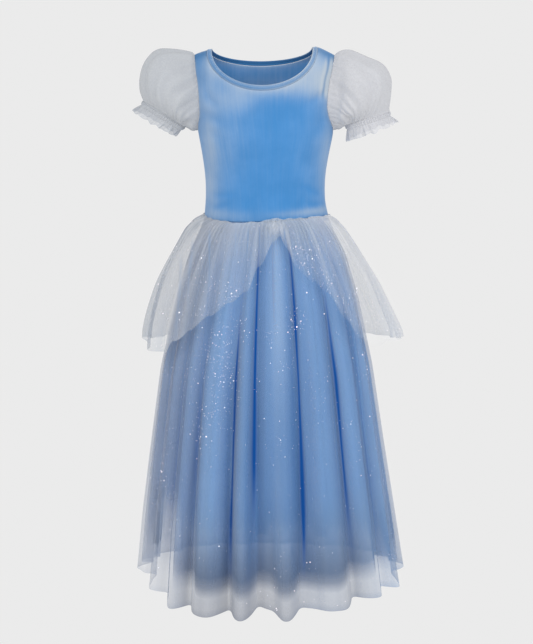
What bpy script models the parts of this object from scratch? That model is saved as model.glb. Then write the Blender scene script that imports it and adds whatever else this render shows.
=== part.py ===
# A girl's costume dress in its worn shape, hollow, with the front facing -Y.
# The tables and sizes below are in millimetres, with heights taken from the shoulders
# and the wearer's left and right named as the viewer in front sees them.
# Every cloth piece is a closed shell with an outer face, an inner face and turned edges.

import math

import bpy

MM = 0.001

# Cloth walls and the spaces between pieces
BODICE_WALL = 1.3
SHEER_WALL = 1.2
SLEEVE_WALL = 1.4
SEAM_GAP = 0.4
LAYER_GAP = 0.4

# Bodice form
SHOULDER_ARCH_FRONT = 38.0
SHOULDER_ARCH_BACK = 26.0
SHOULDER_ARCH_LENGTH = 74.0
SHOULDER_SLOPE_REACH = 110.0
WAIST_HEIGHT = -271.0
WAIST_FRONT_DIP = 2.0
WAIST_TILT = 5.0

# Neck opening, an ellipse on the front and a shallower one on the back
NECK_CENTRE = -7.0
NECK_HALF_WIDTH = 81.0
NECK_FRONT_DROP = 57.0
NECK_BACK_DROP = 21.0
NECK_BAND_WIDTH = 8.0
NECK_BAND_WALL = 1.8
NECK_BAND_PROUD = 0.3

# Armholes, from the end of the shoulder seam down to the armpit
ARMPIT_HEIGHT = -131.0
ARMHOLE_HALF_DEPTH = 34.0
STRAP_END = {-1: -115.0, 1: 109.0}

# Grid sizes
STRAP_COLUMNS = 3
NECK_COLUMNS = 14
SEAM_ROWS = 5
ARMHOLE_ROWS = 6
SLEEVE_COLUMNS = 36
SLEEVE_FOLDS = 9
CUFF_WAVES = 18
OVERSKIRT_GATHERS = 40
OUTER_STEPS = 3
INNER_STEPS = 2


# height, left reach, right reach, front depth, back depth, roundness
BODICE = [
    (10, 124.0, 118.0, 58, 56, 0.87),
    (-10, 124.0, 118.0, 60, 58, 0.87),
    (-35, 123.5, 114.5, 62, 60, 0.87),
    (-68, 123.0, 112.5, 64, 62, 0.87),
    (-100, 115.5, 105.5, 67, 64, 0.87),
    (-131, 112.0, 110.0, 70, 65, 0.88),
    (-155, 107.5, 105.0, 71, 64, 0.90),
    (-180, 103.5, 100.0, 70, 62, 0.93),
    (-204, 100.5, 96.5, 69, 61, 0.95),
    (-229, 99.5, 95.5, 69, 62, 0.97),
    (-253, 100.5, 97.0, 72, 67, 0.99),
    (-271, 103.0, 103.0, 76, 73, 1.00),
    (-290, 103.0, 103.0, 76, 73, 1.00),
]

# x, height of the shoulder line
SHOULDER = [
    (-125, -14),
    (-115, -8),
    (-100, -3),
    (-88, 0),
    (74, 2),
    (82, 4),
    (95, -2),
    (109, -9),
    (120, -16),
]

# drop below the waist, left reach, right reach, front depth, back depth, fold depth
SKIRT = [
    (0, 101.2, 101.2, 74.2, 71.2, 0.0),
    (15, 107.0, 107.0, 82.0, 79.0, 1.5),
    (60, 129.0, 131.0, 103.0, 102.0, 6.0),
    (135, 152.0, 154.0, 125.0, 126.0, 12.0),
    (250, 179.0, 180.0, 144.0, 146.0, 19.0),
    (375, 196.0, 200.0, 157.0, 160.0, 25.0),
    (500, 212.0, 221.0, 168.0, 172.0, 31.0),
    (640, 226.0, 244.0, 179.0, 182.0, 37.0),
]

# Folds of the skirt all round, from the left side across the front to the back:
# ridge angle, angle of the valley that follows, valley depth as a share, hem height
FOLDS = [
    (-84.0, -70.0, 0.80, -873),
    (-59.0, -52.5, 0.70, -885),
    (-45.5, -38.5, 0.80, -905),
    (-29.0, -17.0, 1.00, -909),
    (-11.5, -6.0, 0.80, -909),
    (6.0, 17.0, 1.00, -908),
    (29.0, 40.0, 0.80, -899),
    (50.0, 61.0, 0.70, -890),
    (70.0, 79.0, 0.70, -888),
    (87.0, 97.0, 0.85, -870),
    (106.0, 116.0, 0.90, -878),
    (126.0, 134.0, 0.70, -882),
    (144.0, 155.0, 1.00, -884),
    (165.0, 173.0, 0.80, -888),
    (182.0, 193.0, 0.95, -889),
    (203.0, 211.0, 0.70, -886),
    (221.0, 230.0, 1.00, -884),
    (240.0, 249.0, 0.80, -880),
    (258.0, 267.0, 0.85, -876),
]

# The hem lifts a little where the cloth folds in
VALLEY_LIFT = 7.0

SKIRT_ROWS = [0, 15, 60, 135, 250, 375, 500]
INNER_ROWS = [0, 15, 60, 135, 280]

# Inner layers: extra space below the waist, space per fold depth, fold share
OUTER_SPACE = (0.0, 0.0, 1.0)
MIDDLE_SPACE = (1.4, 0.20, 0.86)
MIDDLE_HEM_RISE = 33.0
LINING_SPACE = (3.0, 0.42, 0.72)
LINING_HEM_RISE = 118.0

# drop below the waist, left reach, right reach, front depth, back depth
OVERSKIRT = [
    (0, 105.2, 105.2, 78.2, 75.2),
    (5, 119.0, 117.0, 85.0, 83.0),
    (10, 128.0, 122.0, 90.0, 90.0),
    (25, 137.0, 133.0, 98.0, 101.0),
    (40, 146.0, 144.0, 106.0, 112.0),
    (75, 166.0, 166.0, 121.0, 133.0),
    (107, 183.0, 187.0, 133.0, 149.0),
    (141, 195.0, 204.0, 142.0, 163.0),
    (175, 205.0, 221.0, 149.0, 174.0),
    (200, 209.0, 233.0, 154.0, 180.0),
    (230, 208.0, 231.0, 158.0, 184.0),
]

# angle, hem height of the overskirt, which opens in front
OVERSKIRT_HEM = [
    (-110, -487),
    (-88, -474),
    (-75, -487),
    (-55, -486),
    (-46, -462),
    (-38, -443),
    (-28, -418),
    (-18, -396),
    (-10, -378),
    (-4.5, -340),
    (5, -302),
    (9.5, -294),
    (13, -312),
    (17, -345),
    (25, -364),
    (31, -382),
    (37, -425),
    (42, -458),
    (49, -473),
    (62, -469),
    (86, -473),
    (112, -486),
    (150, -492),
    (180, -496),
    (215, -492),
    (250, -487),
]

# Long folds of the overskirt: ridge angle, valley angle, valley depth at the hem
OVERSKIRT_FOLDS = [
    (-88.0, -79.0, 14.0),
    (-68.0, -59.0, 15.0),
    (-48.0, -41.0, 8.0),
    (-33.0, -25.0, 5.5),
    (-16.0, -8.0, 4.0),
    (3.0, 12.0, 3.0),
    (20.0, 28.0, 4.0),
    (36.0, 44.0, 7.0),
    (53.0, 62.0, 12.0),
    (74.0, 83.0, 16.0),
    (95.0, 104.0, 14.0),
    (113.0, 122.0, 12.0),
    (133.0, 143.0, 14.0),
    (154.0, 163.0, 12.0),
    (173.0, 183.0, 14.0),
    (194.0, 203.0, 12.0),
    (213.0, 223.0, 14.0),
    (234.0, 243.0, 12.0),
    (253.0, 263.0, 14.0),
]
OVERSKIRT_ROWS = [0.0, 0.03, 0.12, 0.35, 0.65, 1.0]

# Sleeves after the armhole: top x, top height, under x, under height, half depth
SLEEVE_LEFT = [
    (-124, -3, -115, -132, 45),
    (-151, 1, -118.5, -132.3, 57),
    (-178, -1, -122, -131.5, 63),
    (-197, -19, -125.5, -129.5, 63),
    (-206, -42, -128.5, -127.5, 58),
    (-207, -65, -131, -126.5, 49),
    (-201, -83, -133, -127, 41),
]
SLEEVE_RIGHT = [
    (118, -3, 113, -130.5, 45),
    (135, -1, 116, -130, 57),
    (161, -11, 118.8, -129.2, 63),
    (188, -23, 121.5, -128, 63),
    (202, -45, 124, -126, 58),
    (203, -73, 126.3, -124.5, 49),
    (201, -100, 128, -123, 40),
]

# Cuffs after the sleeve's last ring, the same columns and the size of the waves
CUFF_LEFT = [
    (-205, -89.5, -139.5, -131.5, 38.5, 0.6),
    (-217, -99, -149, -139.5, 44, 3.2),
]
CUFF_RIGHT = [
    (203, -107, 131, -130.5, 38, 0.6),
    (213.5, -117.5, 132, -148, 45, 3.2),
]


def look_up(table, x, column):
    """Straight line between the rows of a table whose first column rises or falls."""
    first, last = table[0], table[-1]
    rising = last[0] > first[0]
    if (x <= first[0]) == rising:
        return first[column]
    if (x >= last[0]) == rising:
        return last[column]
    for near, far in zip(table, table[1:]):
        share = (x - near[0]) / (far[0] - near[0])
        if 0.0 <= share <= 1.0:
            return near[column] + (far[column] - near[column]) * share
    return last[column]


def look_round(table, angle, column):
    """Eased value between the rows of a table that runs once round in degrees."""
    start = table[0][0]
    turn = start + (angle - start) % 360.0
    rows = table + [(start + 360.0,) + tuple(table[0][1:])]
    for near, far in zip(rows, rows[1:]):
        if near[0] <= turn <= far[0]:
            share = (turn - near[0]) / (far[0] - near[0])
            share = share * share * (3.0 - 2.0 * share)
            return near[column] + (far[column] - near[column]) * share
    return table[0][column]


def signed_power(value, power):
    return math.copysign(abs(value) ** power, value)


def waist_height(angle):
    turn = math.radians(angle)
    tilt = WAIST_TILT * math.sin(turn) * math.cos(turn)
    return WAIST_HEIGHT - WAIST_FRONT_DIP * math.cos(turn) + tilt


# Bodice surface: a point is named by its angle round the body, its way down from the
# shoulder line along the cloth, and whether it is on the front or the back.

def arch(side):
    return SHOULDER_ARCH_FRONT if side == "front" else SHOULDER_ARCH_BACK


def drop_from_way(way, side):
    if way < SHOULDER_ARCH_LENGTH:
        turn = 0.5 * math.pi * way / SHOULDER_ARCH_LENGTH
        return arch(side) * (1.0 - math.cos(turn))
    return arch(side) + way - SHOULDER_ARCH_LENGTH


def way_from_drop(drop, side):
    drop = max(drop, 0.0)
    if drop < arch(side):
        turn = math.acos(1.0 - drop / arch(side))
        return SHOULDER_ARCH_LENGTH * turn / (0.5 * math.pi)
    return SHOULDER_ARCH_LENGTH + drop - arch(side)


def fullness(drop, side):
    """How far the shoulder arch has opened, from 0 on the shoulder line to 1."""
    if drop >= arch(side):
        return 1.0
    rest = 1.0 - max(drop, 0.0) / arch(side)
    return math.sqrt(max(0.0, 1.0 - rest * rest))


def slope_share(drop):
    share = min(1.0, max(0.0, drop / SHOULDER_SLOPE_REACH))
    return 1.0 - share * share * (3.0 - 2.0 * share)


def ring_sizes(height, side):
    left = look_up(BODICE, height, 1)
    right = look_up(BODICE, height, 2)
    depth = look_up(BODICE, height, 3 if side == "front" else 4)
    power = look_up(BODICE, height, 5)
    return 0.5 * (right - left), 0.5 * (right + left), depth, power


def bodice_point(angle, drop, side, inset=0.0):
    """Angle runs from -90 at the left side to 90 at the right side."""
    turn = math.radians(angle)
    height = -drop
    for _ in range(3):
        centre, reach, depth, power = ring_sizes(height, side)
        x = centre + reach * signed_power(math.sin(turn), power)
        height = look_up(SHOULDER, x, 1) * slope_share(drop) - drop
    centre, reach, depth, power = ring_sizes(height, side)
    x = centre + (reach - inset) * signed_power(math.sin(turn), power)
    full = fullness(drop, side)
    y = (depth - inset) * abs(math.cos(turn)) ** power * full
    z = height - inset * math.sqrt(max(0.0, 1.0 - full * full))
    return x, (-y if side == "front" else y), z


def angle_from_x(x, height, side):
    centre, reach, depth, power = ring_sizes(height, side)
    share = min(1.0, abs(x - centre) / reach)
    return math.copysign(math.degrees(math.asin(share ** (1.0 / power))), x - centre)


def neck_turns(side):
    """Turns round the neck ellipse that space its columns evenly along the cloth."""
    steps = 400
    down = NECK_FRONT_DROP if side == "front" else NECK_BACK_DROP
    spots = []
    for i in range(steps + 1):
        turn = math.pi * (i / steps - 0.5)
        x = (NECK_HALF_WIDTH + NECK_BAND_WIDTH) * math.sin(turn)
        drop = (down + NECK_BAND_WIDTH) * math.cos(turn)
        spots.append((turn, x, way_from_drop(drop, side)))
    lengths = [0.0]
    for near, far in zip(spots, spots[1:]):
        lengths.append(lengths[-1] + math.dist(near[1:], far[1:]))
    turns = []
    for i in range(NECK_COLUMNS + 1):
        goal = lengths[-1] * i / NECK_COLUMNS
        turns.append(look_up([(w, s[0]) for w, s in zip(lengths, spots)], goal, 1))
    return turns


def neck_place(turn, side, band):
    """Angle and drop of a point on the neck ellipse, band millimetres outside it."""
    down = NECK_FRONT_DROP if side == "front" else NECK_BACK_DROP
    x = NECK_CENTRE + (NECK_HALF_WIDTH + band) * math.sin(turn)
    drop = (down + band) * math.cos(turn)
    height = look_up(SHOULDER, x, 1) * slope_share(drop) - drop
    return angle_from_x(x, height, side), max(drop, 0.0)


def armhole_sizes(hand):
    """Centre height and half height of the armhole."""
    top = look_up(SHOULDER, STRAP_END[hand], 1)
    return 0.5 * (top + ARMPIT_HEIGHT), 0.5 * (top - ARMPIT_HEIGHT)


def armhole_drop(turn, hand):
    centre, half_height = armhole_sizes(hand)
    height = centre + half_height * math.cos(turn)
    shoulder = look_up(SHOULDER, STRAP_END[hand], 1)
    drop = -height
    for _ in range(8):
        drop = shoulder * slope_share(drop) - height
    return max(drop, 0.0), height


def armhole_share(turn, hand, side):
    """Depth of the armhole's edge as a share of the body's depth there."""
    near = max(turn, 0.05)
    drop, height = armhole_drop(near, hand)
    depth = ring_sizes(height, side)[2]
    return ARMHOLE_HALF_DEPTH * math.sin(near) / (depth * fullness(drop, side))


def armhole_place(turn, hand, side):
    """Angle and drop of a point on the armhole, from 0 at the top to pi below."""
    drop, height = armhole_drop(turn, hand)
    share = armhole_share(turn, hand, side)
    middle = 0.5 * (armhole_share(turn, hand, "front") + armhole_share(turn, hand, "back"))
    blend = max(0.0, 1.0 - turn / 0.6)
    share = min(0.999, share + (middle - share) * blend)
    power = ring_sizes(height, side)[3]
    angle = 90.0 - math.degrees(math.asin(max(share, 0.0) ** (1.0 / power)))
    return hand * angle, drop


def armhole_point(turn, hand, inset=0.0):
    """Turn runs from 0 at the shoulder to pi under the arm and on up the back."""
    turn = turn % (2.0 * math.pi)
    side = "front" if turn <= math.pi else "back"
    angle, drop = armhole_place(min(turn, 2.0 * math.pi - turn), hand, side)
    return bodice_point(angle, drop, side, inset)


def to_plane(angle, drop, side):
    return angle, way_from_drop(drop, side)


def panel_places(side):
    """Grid of angle and drop for one bodice panel, waist row first."""
    columns = 2 * STRAP_COLUMNS + NECK_COLUMNS
    rows = SEAM_ROWS + ARMHOLE_ROWS
    bottom, top = [], []
    for i in range(columns + 1):
        angle = -90.0 + 180.0 * i / columns
        around = angle if side == "front" else 180.0 - angle
        drop = -(waist_height(around) + SEAM_GAP)
        bottom.append(to_plane(angle, drop, side))
    edges = {}
    for hand in (-1, 1):
        edge = []
        armpit = armhole_place(math.pi, hand, side)
        waist = bottom[0] if hand < 0 else bottom[-1]
        end = to_plane(hand * 90.0, armpit[1], side)
        for j in range(SEAM_ROWS):
            share = j / SEAM_ROWS
            edge.append((hand * 90.0, waist[1] + (end[1] - waist[1]) * share))
        for j in range(ARMHOLE_ROWS + 1):
            turn = math.pi * (1.0 - j / ARMHOLE_ROWS)
            angle, drop = armhole_place(turn, hand, side)
            if j == 0:
                angle = hand * 90.0
            edge.append(to_plane(angle, drop, side))
        edges[hand] = edge
    left, right = edges[-1], edges[1]
    neck = []
    for i, turn in enumerate(neck_turns(side)):
        angle, drop = neck_place(turn, side, NECK_BAND_WIDTH + SEAM_GAP)
        if i in (0, NECK_COLUMNS):
            drop = 0.0
        neck.append(to_plane(angle, drop, side))
    for i in range(STRAP_COLUMNS):
        share = i / STRAP_COLUMNS
        top.append((left[-1][0] + (neck[0][0] - left[-1][0]) * share, 0.0))
    top += neck
    for i in range(1, STRAP_COLUMNS + 1):
        share = i / STRAP_COLUMNS
        top.append((neck[-1][0] + (right[-1][0] - neck[-1][0]) * share, 0.0))
    grid = []
    for j in range(rows + 1):
        v = j / rows
        line = []
        for i in range(columns + 1):
            place = [(1 - v) * bottom[i][k] + v * top[i][k] for k in range(2)]
            from_end = min(i, columns - i)
            if from_end < STRAP_COLUMNS:
                # Under a strap the columns share out the space beside the armhole
                low = STRAP_COLUMNS if i < columns - i else columns - STRAP_COLUMNS
                edge = left[j] if i < columns - i else right[j]
                share = from_end / STRAP_COLUMNS
                place = [edge[k] + share * ((1 - v) * bottom[low][k]
                                            + v * top[low][k] - edge[k])
                         for k in range(2)]
            line.append((place[0], drop_from_way(max(place[1], 0.0), side)))
        grid.append(line)
    return grid


def seam_shift(point, side):
    """Keep half of the seam space on each side of the plane between the panels."""
    x, y, z = point
    half = 0.5 * SEAM_GAP
    return (x, min(y, -half), z) if side == "front" else (x, max(y, half), z)


def panel_walls(side):
    outer, inner = [], []
    for line in panel_places(side):
        outer.append([seam_shift(bodice_point(a, d, side), side) for a, d in line])
        inner.append([seam_shift(bodice_point(a, d, side, BODICE_WALL), side)
                      for a, d in line])
    return outer, inner


def band_walls():
    """Turned band round the neck, one closed ring across both shoulder seams."""
    outer, inner = [], []
    for band in (NECK_BAND_WIDTH, 0.5 * NECK_BAND_WIDTH, 0.0):
        line_out, line_in = [], []
        for side in ("front", "back"):
            turns = neck_turns(side)
            if side == "back":
                turns.reverse()
            for i, turn in enumerate(turns[:-1]):
                angle, drop = neck_place(turn, side, band)
                if i == 0:
                    drop = 0.0
                line_out.append(bodice_point(angle, drop, side, -NECK_BAND_PROUD))
                inset = NECK_BAND_WALL - NECK_BAND_PROUD
                line_in.append(bodice_point(angle, drop, side, inset))
        outer.append(line_out)
        inner.append(line_in)
    return outer, inner


# Skirt layers: a point starts on an ellipse and moves in along its normal.

def skirt_ring(table, drop, angle):
    turn = math.radians(angle)
    across = look_up(table, drop, 1 if math.sin(turn) < 0 else 2)
    deep = look_up(table, drop, 3 if math.cos(turn) > 0 else 4)
    x, y = across * math.sin(turn), -deep * math.cos(turn)
    nx, ny = deep * math.sin(turn), -across * math.cos(turn)
    length = math.hypot(nx, ny)
    return x, y, nx / length, ny / length


def fold_value(folds, angle, depth_column):
    """0 on a ridge and the valley's depth on a valley, rounded over the ridges."""
    start = folds[0][0]
    turn = start + (angle - start) % 360.0
    for i, row in enumerate(folds):
        ahead = folds[(i + 1) % len(folds)][0] + (360.0 if i + 1 == len(folds) else 0.0)
        if row[0] <= turn <= ahead:
            if turn <= row[1]:
                share = (turn - row[0]) / (row[1] - row[0])
            else:
                share = (ahead - turn) / (ahead - row[1])
            return row[depth_column] * (1.0 - math.cos(0.5 * math.pi * share))
    return 0.0


def fold_angles(folds, steps):
    """Column angles that meet every ridge and every valley."""
    angles = []
    for i, row in enumerate(folds):
        ahead = folds[(i + 1) % len(folds)][0] + (360.0 if i + 1 == len(folds) else 0.0)
        for k in range(steps):
            angles.append(row[0] + (row[1] - row[0]) * k / steps)
        for k in range(steps):
            angles.append(row[1] + (ahead - row[1]) * k / steps)
    return angles


def steepness(insets, spacing):
    """Largest slope of the fold on either side of each column."""
    count = len(insets)
    slopes = []
    for i in range(count):
        before = abs(insets[i] - insets[i - 1]) / spacing[i - 1]
        after = abs(insets[(i + 1) % count] - insets[i]) / spacing[i]
        slopes.append(max(before, after))
    return slopes


def ring_spacing(table, drop, angles):
    points = [skirt_ring(table, drop, a)[:2] for a in angles]
    return [math.dist(points[i], points[(i + 1) % len(points)])
            for i in range(len(points))]


def skirt_layer(steps, rows, hem_rise, start, space):
    """Walls of one skirt layer. Start is how far its waist lies inside the table's."""
    angles = fold_angles(FOLDS, steps)
    outer, inner = [], []
    last = len(rows)
    for j in range(last + 1):
        insets, drops = [], []
        for angle in angles:
            waist = waist_height(angle)
            lift = hem_rise + VALLEY_LIFT * fold_value(FOLDS, angle, 2)
            hem = waist - look_round(FOLDS, angle, 3) - lift
            drop = hem if j == last else float(rows[j])
            deep = look_up(SKIRT, drop, 5)
            fold = deep * fold_value(FOLDS, angle, 2) * space[2]
            loose = space[0] * min(1.0, drop / 60.0) + space[1] * deep
            insets.append(start + loose + fold)
            drops.append(drop)
        spacing = ring_spacing(SKIRT, sum(drops) / len(drops), angles)
        slopes = steepness(insets, spacing)
        line_out, line_in = [], []
        for angle, inset, drop, slope in zip(angles, insets, drops, slopes):
            x, y, nx, ny = skirt_ring(SKIRT, drop, angle)
            z = waist_height(angle) - drop
            wall = SHEER_WALL * min(1.8, math.sqrt(1.0 + slope * slope))
            line_out.append((x - nx * inset, y - ny * inset, z))
            line_in.append((x - nx * (inset + wall), y - ny * (inset + wall), z))
        outer.append(line_out)
        inner.append(line_in)
    return outer, inner


def overskirt_walls():
    """Gathered overskirt with its hem drawn up to a point in front."""
    columns = 4 * OVERSKIRT_GATHERS
    angles = [360.0 * i / columns - 90.0 for i in range(columns)]
    outer, inner = [], []
    for share in OVERSKIRT_ROWS:
        insets, drops = [], []
        for i, angle in enumerate(angles):
            length = waist_height(angle) - look_round(OVERSKIRT_HEM, angle, 1)
            drop = length * share
            gather = 1.1 + 1.7 * min(1.0, drop / 10.0)
            gather *= max(0.0, 1.0 - max(0.0, drop - 10.0) / 75.0)
            wave = 0.5 - 0.5 * math.cos(0.5 * math.pi * i)
            grown = min(1.0, max(0.0, (drop - 20.0) / 170.0))
            fold = fold_value(OVERSKIRT_FOLDS, angle, 2) * grown
            insets.append(gather * wave + fold)
            drops.append(drop)
        spacing = ring_spacing(OVERSKIRT, sum(drops) / len(drops), angles)
        slopes = steepness(insets, spacing)
        line_out, line_in = [], []
        for angle, inset, drop, slope in zip(angles, insets, drops, slopes):
            x, y, nx, ny = skirt_ring(OVERSKIRT, drop, angle)
            z = waist_height(angle) - drop
            wall = SHEER_WALL * min(1.8, math.sqrt(1.0 + slope * slope))
            line_out.append((x - nx * inset, y - ny * inset, z))
            line_in.append((x - nx * (inset + wall), y - ny * (inset + wall), z))
        outer.append(line_out)
        inner.append(line_in)
    return outer, inner


# Sleeves and cuffs: rings between a top point and an under point.

def sleeve_ring(row, turn, inset, wave):
    top_x, top_z, under_x, under_z, deep = row
    half = 0.5 * math.hypot(top_x - under_x, top_z - under_z)
    ux, uz = 0.5 * (top_x - under_x) / half, 0.5 * (top_z - under_z) / half
    up = (half - inset + wave) * math.cos(turn)
    forth = (deep - inset + wave) * math.sin(turn)
    x = 0.5 * (top_x + under_x) + ux * up
    z = 0.5 * (top_z + under_z) + uz * up
    return x, -forth, z


def armhole_ring(hand, inset):
    """First ring of a sleeve, face to face with the straight edges of the panels."""
    step = math.pi / ARMHOLE_ROWS
    centre, half_height = armhole_sizes(hand)
    points = []
    for i in range(SLEEVE_COLUMNS):
        turn = 2.0 * math.pi * i / SLEEVE_COLUMNS
        lower = math.floor(turn / step + 1e-6)
        share = turn / step - lower
        near = armhole_point(lower * step, hand)
        far = armhole_point((lower + 1) * step, hand)
        x = near[0] + (far[0] - near[0]) * share + hand * SEAM_GAP
        high = half_height - inset
        deep = ARMHOLE_HALF_DEPTH - inset
        points.append((x, -deep * math.sin(turn), centre + high * math.cos(turn)))
    return points


def sleeve_walls(table, hand):
    outer, inner = [armhole_ring(hand, 0.0)], [armhole_ring(hand, SLEEVE_WALL)]
    for j, row in enumerate(table):
        rise = math.sin(math.pi * (j + 1) / (len(table) + 0.6))
        line_out, line_in = [], []
        for i in range(SLEEVE_COLUMNS):
            turn = 2.0 * math.pi * i / SLEEVE_COLUMNS
            wave = 2.4 * rise * (math.cos(SLEEVE_FOLDS * turn) - 1.0)
            line_out.append(sleeve_ring(row, turn, 0.0, wave))
            line_in.append(sleeve_ring(row, turn, SLEEVE_WALL, wave))
        outer.append(line_out)
        inner.append(line_in)
    return outer, inner


def cuff_walls(sleeve, table, hand):
    """Gathered cuff and its ruffle, going on from the sleeve's last ring."""
    top_x, top_z, under_x, under_z, deep = sleeve[-1]
    length = math.hypot(top_x - under_x, top_z - under_z)
    nx, nz = hand * (top_z - under_z) / length, -hand * (top_x - under_x) / length
    columns = 4 * CUFF_WAVES
    dx, dz = nx * SEAM_GAP, nz * SEAM_GAP
    start = (top_x + dx, top_z + dz, under_x + dx, under_z + dz, deep, 0.0)
    outer, inner = [], []
    for row in [start] + table:
        line_out, line_in = [], []
        for i in range(columns):
            turn = 2.0 * math.pi * i / columns
            wave = row[5] * math.sin(0.5 * math.pi * i)
            line_out.append(sleeve_ring(row[:5], turn, 0.0, wave))
            line_in.append(sleeve_ring(row[:5], turn, SHEER_WALL, wave))
        outer.append(line_out)
        inner.append(line_in)
    return outer, inner


# Making the meshes

def shell_mesh(name, outer, inner, ring):
    """Closed shell from two grids of points with the same rows and columns.

    Each cell is split along its shorter diagonal, the same way on both faces."""
    rows, columns = len(outer), len(outer[0])
    points = [p for line in outer for p in line] + [p for line in inner for p in line]
    behind = rows * columns
    faces = []
    spans = columns if ring else columns - 1
    for j in range(rows - 1):
        for i in range(spans):
            a = j * columns + i
            b = j * columns + (i + 1) % columns
            c, d = b + columns, a + columns
            if math.dist(points[a], points[c]) <= math.dist(points[b], points[d]):
                halves = [(a, b, c), (a, c, d)]
            else:
                halves = [(a, b, d), (b, c, d)]
            faces += halves
            faces += [tuple(k + behind for k in reversed(half)) for half in halves]
    for i in range(spans):
        a, b = i, (i + 1) % columns
        faces += [(a, a + behind, b + behind), (a, b + behind, b)]
        a += (rows - 1) * columns
        b += (rows - 1) * columns
        faces += [(b, b + behind, a + behind), (b, a + behind, a)]
    if not ring:
        for j in range(rows - 1):
            a, d = j * columns, (j + 1) * columns
            faces += [(a, d, d + behind), (a, d + behind, a + behind)]
            a += columns - 1
            d += columns - 1
            faces += [(d, a, a + behind), (d, a + behind, d + behind)]
    mesh = bpy.data.meshes.new(name)
    mesh.from_pydata([(x * MM, y * MM, z * MM) for x, y, z in points], [], faces)
    mesh.update()
    return mesh


def outward(mesh):
    """Signed volume of the mesh, positive when its faces point out."""
    total = 0.0
    for face in mesh.polygons:
        a, b, c = (mesh.vertices[i].co for i in face.vertices)
        total += a.dot(b.cross(c)) / 6.0
    return total > 0.0


def cloth(name, colour, roughness, alpha, sheen):
    material = bpy.data.materials.new(name)
    material.use_nodes = True
    shader = material.node_tree.nodes["Principled BSDF"]
    shader.inputs["Base Color"].default_value = (*colour, 1.0)
    shader.inputs["Roughness"].default_value = roughness
    shader.inputs["Metallic"].default_value = 0.0
    shader.inputs["Alpha"].default_value = alpha
    shader.inputs["Sheen Weight"].default_value = sheen
    material.diffuse_color = (*colour, 1.0)
    return material


def add_piece(collection, name, walls, ring, material):
    outer, inner = walls
    mesh = shell_mesh(name, outer, inner, ring)
    if not outward(mesh):
        mesh.flip_normals()
    mesh.shade_smooth()
    mesh.set_sharp_from_angle(angle=math.radians(50))
    mesh.materials.append(material)
    piece = bpy.data.objects.new(name, mesh)
    collection.objects.link(piece)
    return piece


def main():
    for old in list(bpy.data.objects):
        bpy.data.objects.remove(old, do_unlink=True)
    collection = bpy.data.collections.new("costume_dress")
    bpy.context.scene.collection.children.link(collection)

    velvet = (0.064, 0.266, 0.610)
    pale = (0.560, 0.600, 0.650)
    sheer = (0.330, 0.440, 0.640)
    blue = (0.120, 0.290, 0.600)

    add_piece(collection, "bodice_front", panel_walls("front"), False,
              cloth("velvet_front", velvet, 0.8, 1.0, 0.5))
    add_piece(collection, "bodice_back", panel_walls("back"), False,
              cloth("velvet_back", velvet, 0.8, 1.0, 0.5))
    add_piece(collection, "neck_band", band_walls(), True,
              cloth("velvet_band", velvet, 0.7, 1.0, 0.5))
    add_piece(collection, "sleeve_left", sleeve_walls(SLEEVE_LEFT, -1), True,
              cloth("organza_left", pale, 0.6, 0.8, 0.0))
    add_piece(collection, "sleeve_right", sleeve_walls(SLEEVE_RIGHT, 1), True,
              cloth("organza_right", pale, 0.6, 0.8, 0.0))
    add_piece(collection, "cuff_left", cuff_walls(SLEEVE_LEFT, CUFF_LEFT, -1), True,
              cloth("cuff_organza_left", pale, 0.6, 0.8, 0.0))
    add_piece(collection, "cuff_right", cuff_walls(SLEEVE_RIGHT, CUFF_RIGHT, 1), True,
              cloth("cuff_organza_right", pale, 0.6, 0.8, 0.0))
    add_piece(collection, "overskirt", overskirt_walls(), True,
              cloth("glitter_tulle_short", pale, 0.6, 0.6, 0.0))

    second = SHEER_WALL + LAYER_GAP
    third = 2.0 * second
    add_piece(collection, "skirt_outer",
              skirt_layer(OUTER_STEPS, SKIRT_ROWS, 0.0, 0.0, OUTER_SPACE), True,
              cloth("glitter_tulle_long", sheer, 0.6, 0.6, 0.0))
    add_piece(collection, "skirt_middle",
              skirt_layer(INNER_STEPS, INNER_ROWS, MIDDLE_HEM_RISE, second, MIDDLE_SPACE),
              True, cloth("blue_tulle", blue, 0.6, 0.7, 0.0))
    add_piece(collection, "skirt_lining",
              skirt_layer(INNER_STEPS, INNER_ROWS, LINING_HEM_RISE, third, LINING_SPACE),
              True, cloth("blue_lining", blue, 0.6, 1.0, 0.0))


main()
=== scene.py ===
# %% [markdown]
# # A girl's costume dress in velvet and tulle
# The dress stands in its worn shape with nobody in it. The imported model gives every
# cloth piece its place, and each piece here is a finer sheet on the same form.
# Tables and sizes are in millimetres, as in the part's own source, and become metres
# only when a mesh is made.

# %% Load the frame
import math

import bpy
import numpy as np
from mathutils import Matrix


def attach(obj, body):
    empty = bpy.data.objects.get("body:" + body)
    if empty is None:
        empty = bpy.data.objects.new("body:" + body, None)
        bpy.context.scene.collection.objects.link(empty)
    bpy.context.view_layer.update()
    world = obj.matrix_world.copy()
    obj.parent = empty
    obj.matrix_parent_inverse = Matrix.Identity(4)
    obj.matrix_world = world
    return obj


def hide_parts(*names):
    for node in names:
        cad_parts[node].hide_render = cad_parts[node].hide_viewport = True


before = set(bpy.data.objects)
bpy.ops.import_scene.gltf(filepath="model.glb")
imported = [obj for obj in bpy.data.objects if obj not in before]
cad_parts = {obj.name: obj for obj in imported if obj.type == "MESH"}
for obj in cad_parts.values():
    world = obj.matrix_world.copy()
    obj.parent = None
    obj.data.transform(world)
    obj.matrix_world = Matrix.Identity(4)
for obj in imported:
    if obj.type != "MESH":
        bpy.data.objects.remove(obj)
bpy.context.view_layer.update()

MM = 0.001

# %% [markdown]
# ## Camera, floor and light
# A catalogue photograph of a dress is taken from far away with a long lens, here a
# little above the hem and level with the shoulders, and tilted down. A wide lens close
# by would swell the skirt. The floor and the world have one pale tone, so no horizon
# shows behind the hem.

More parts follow.
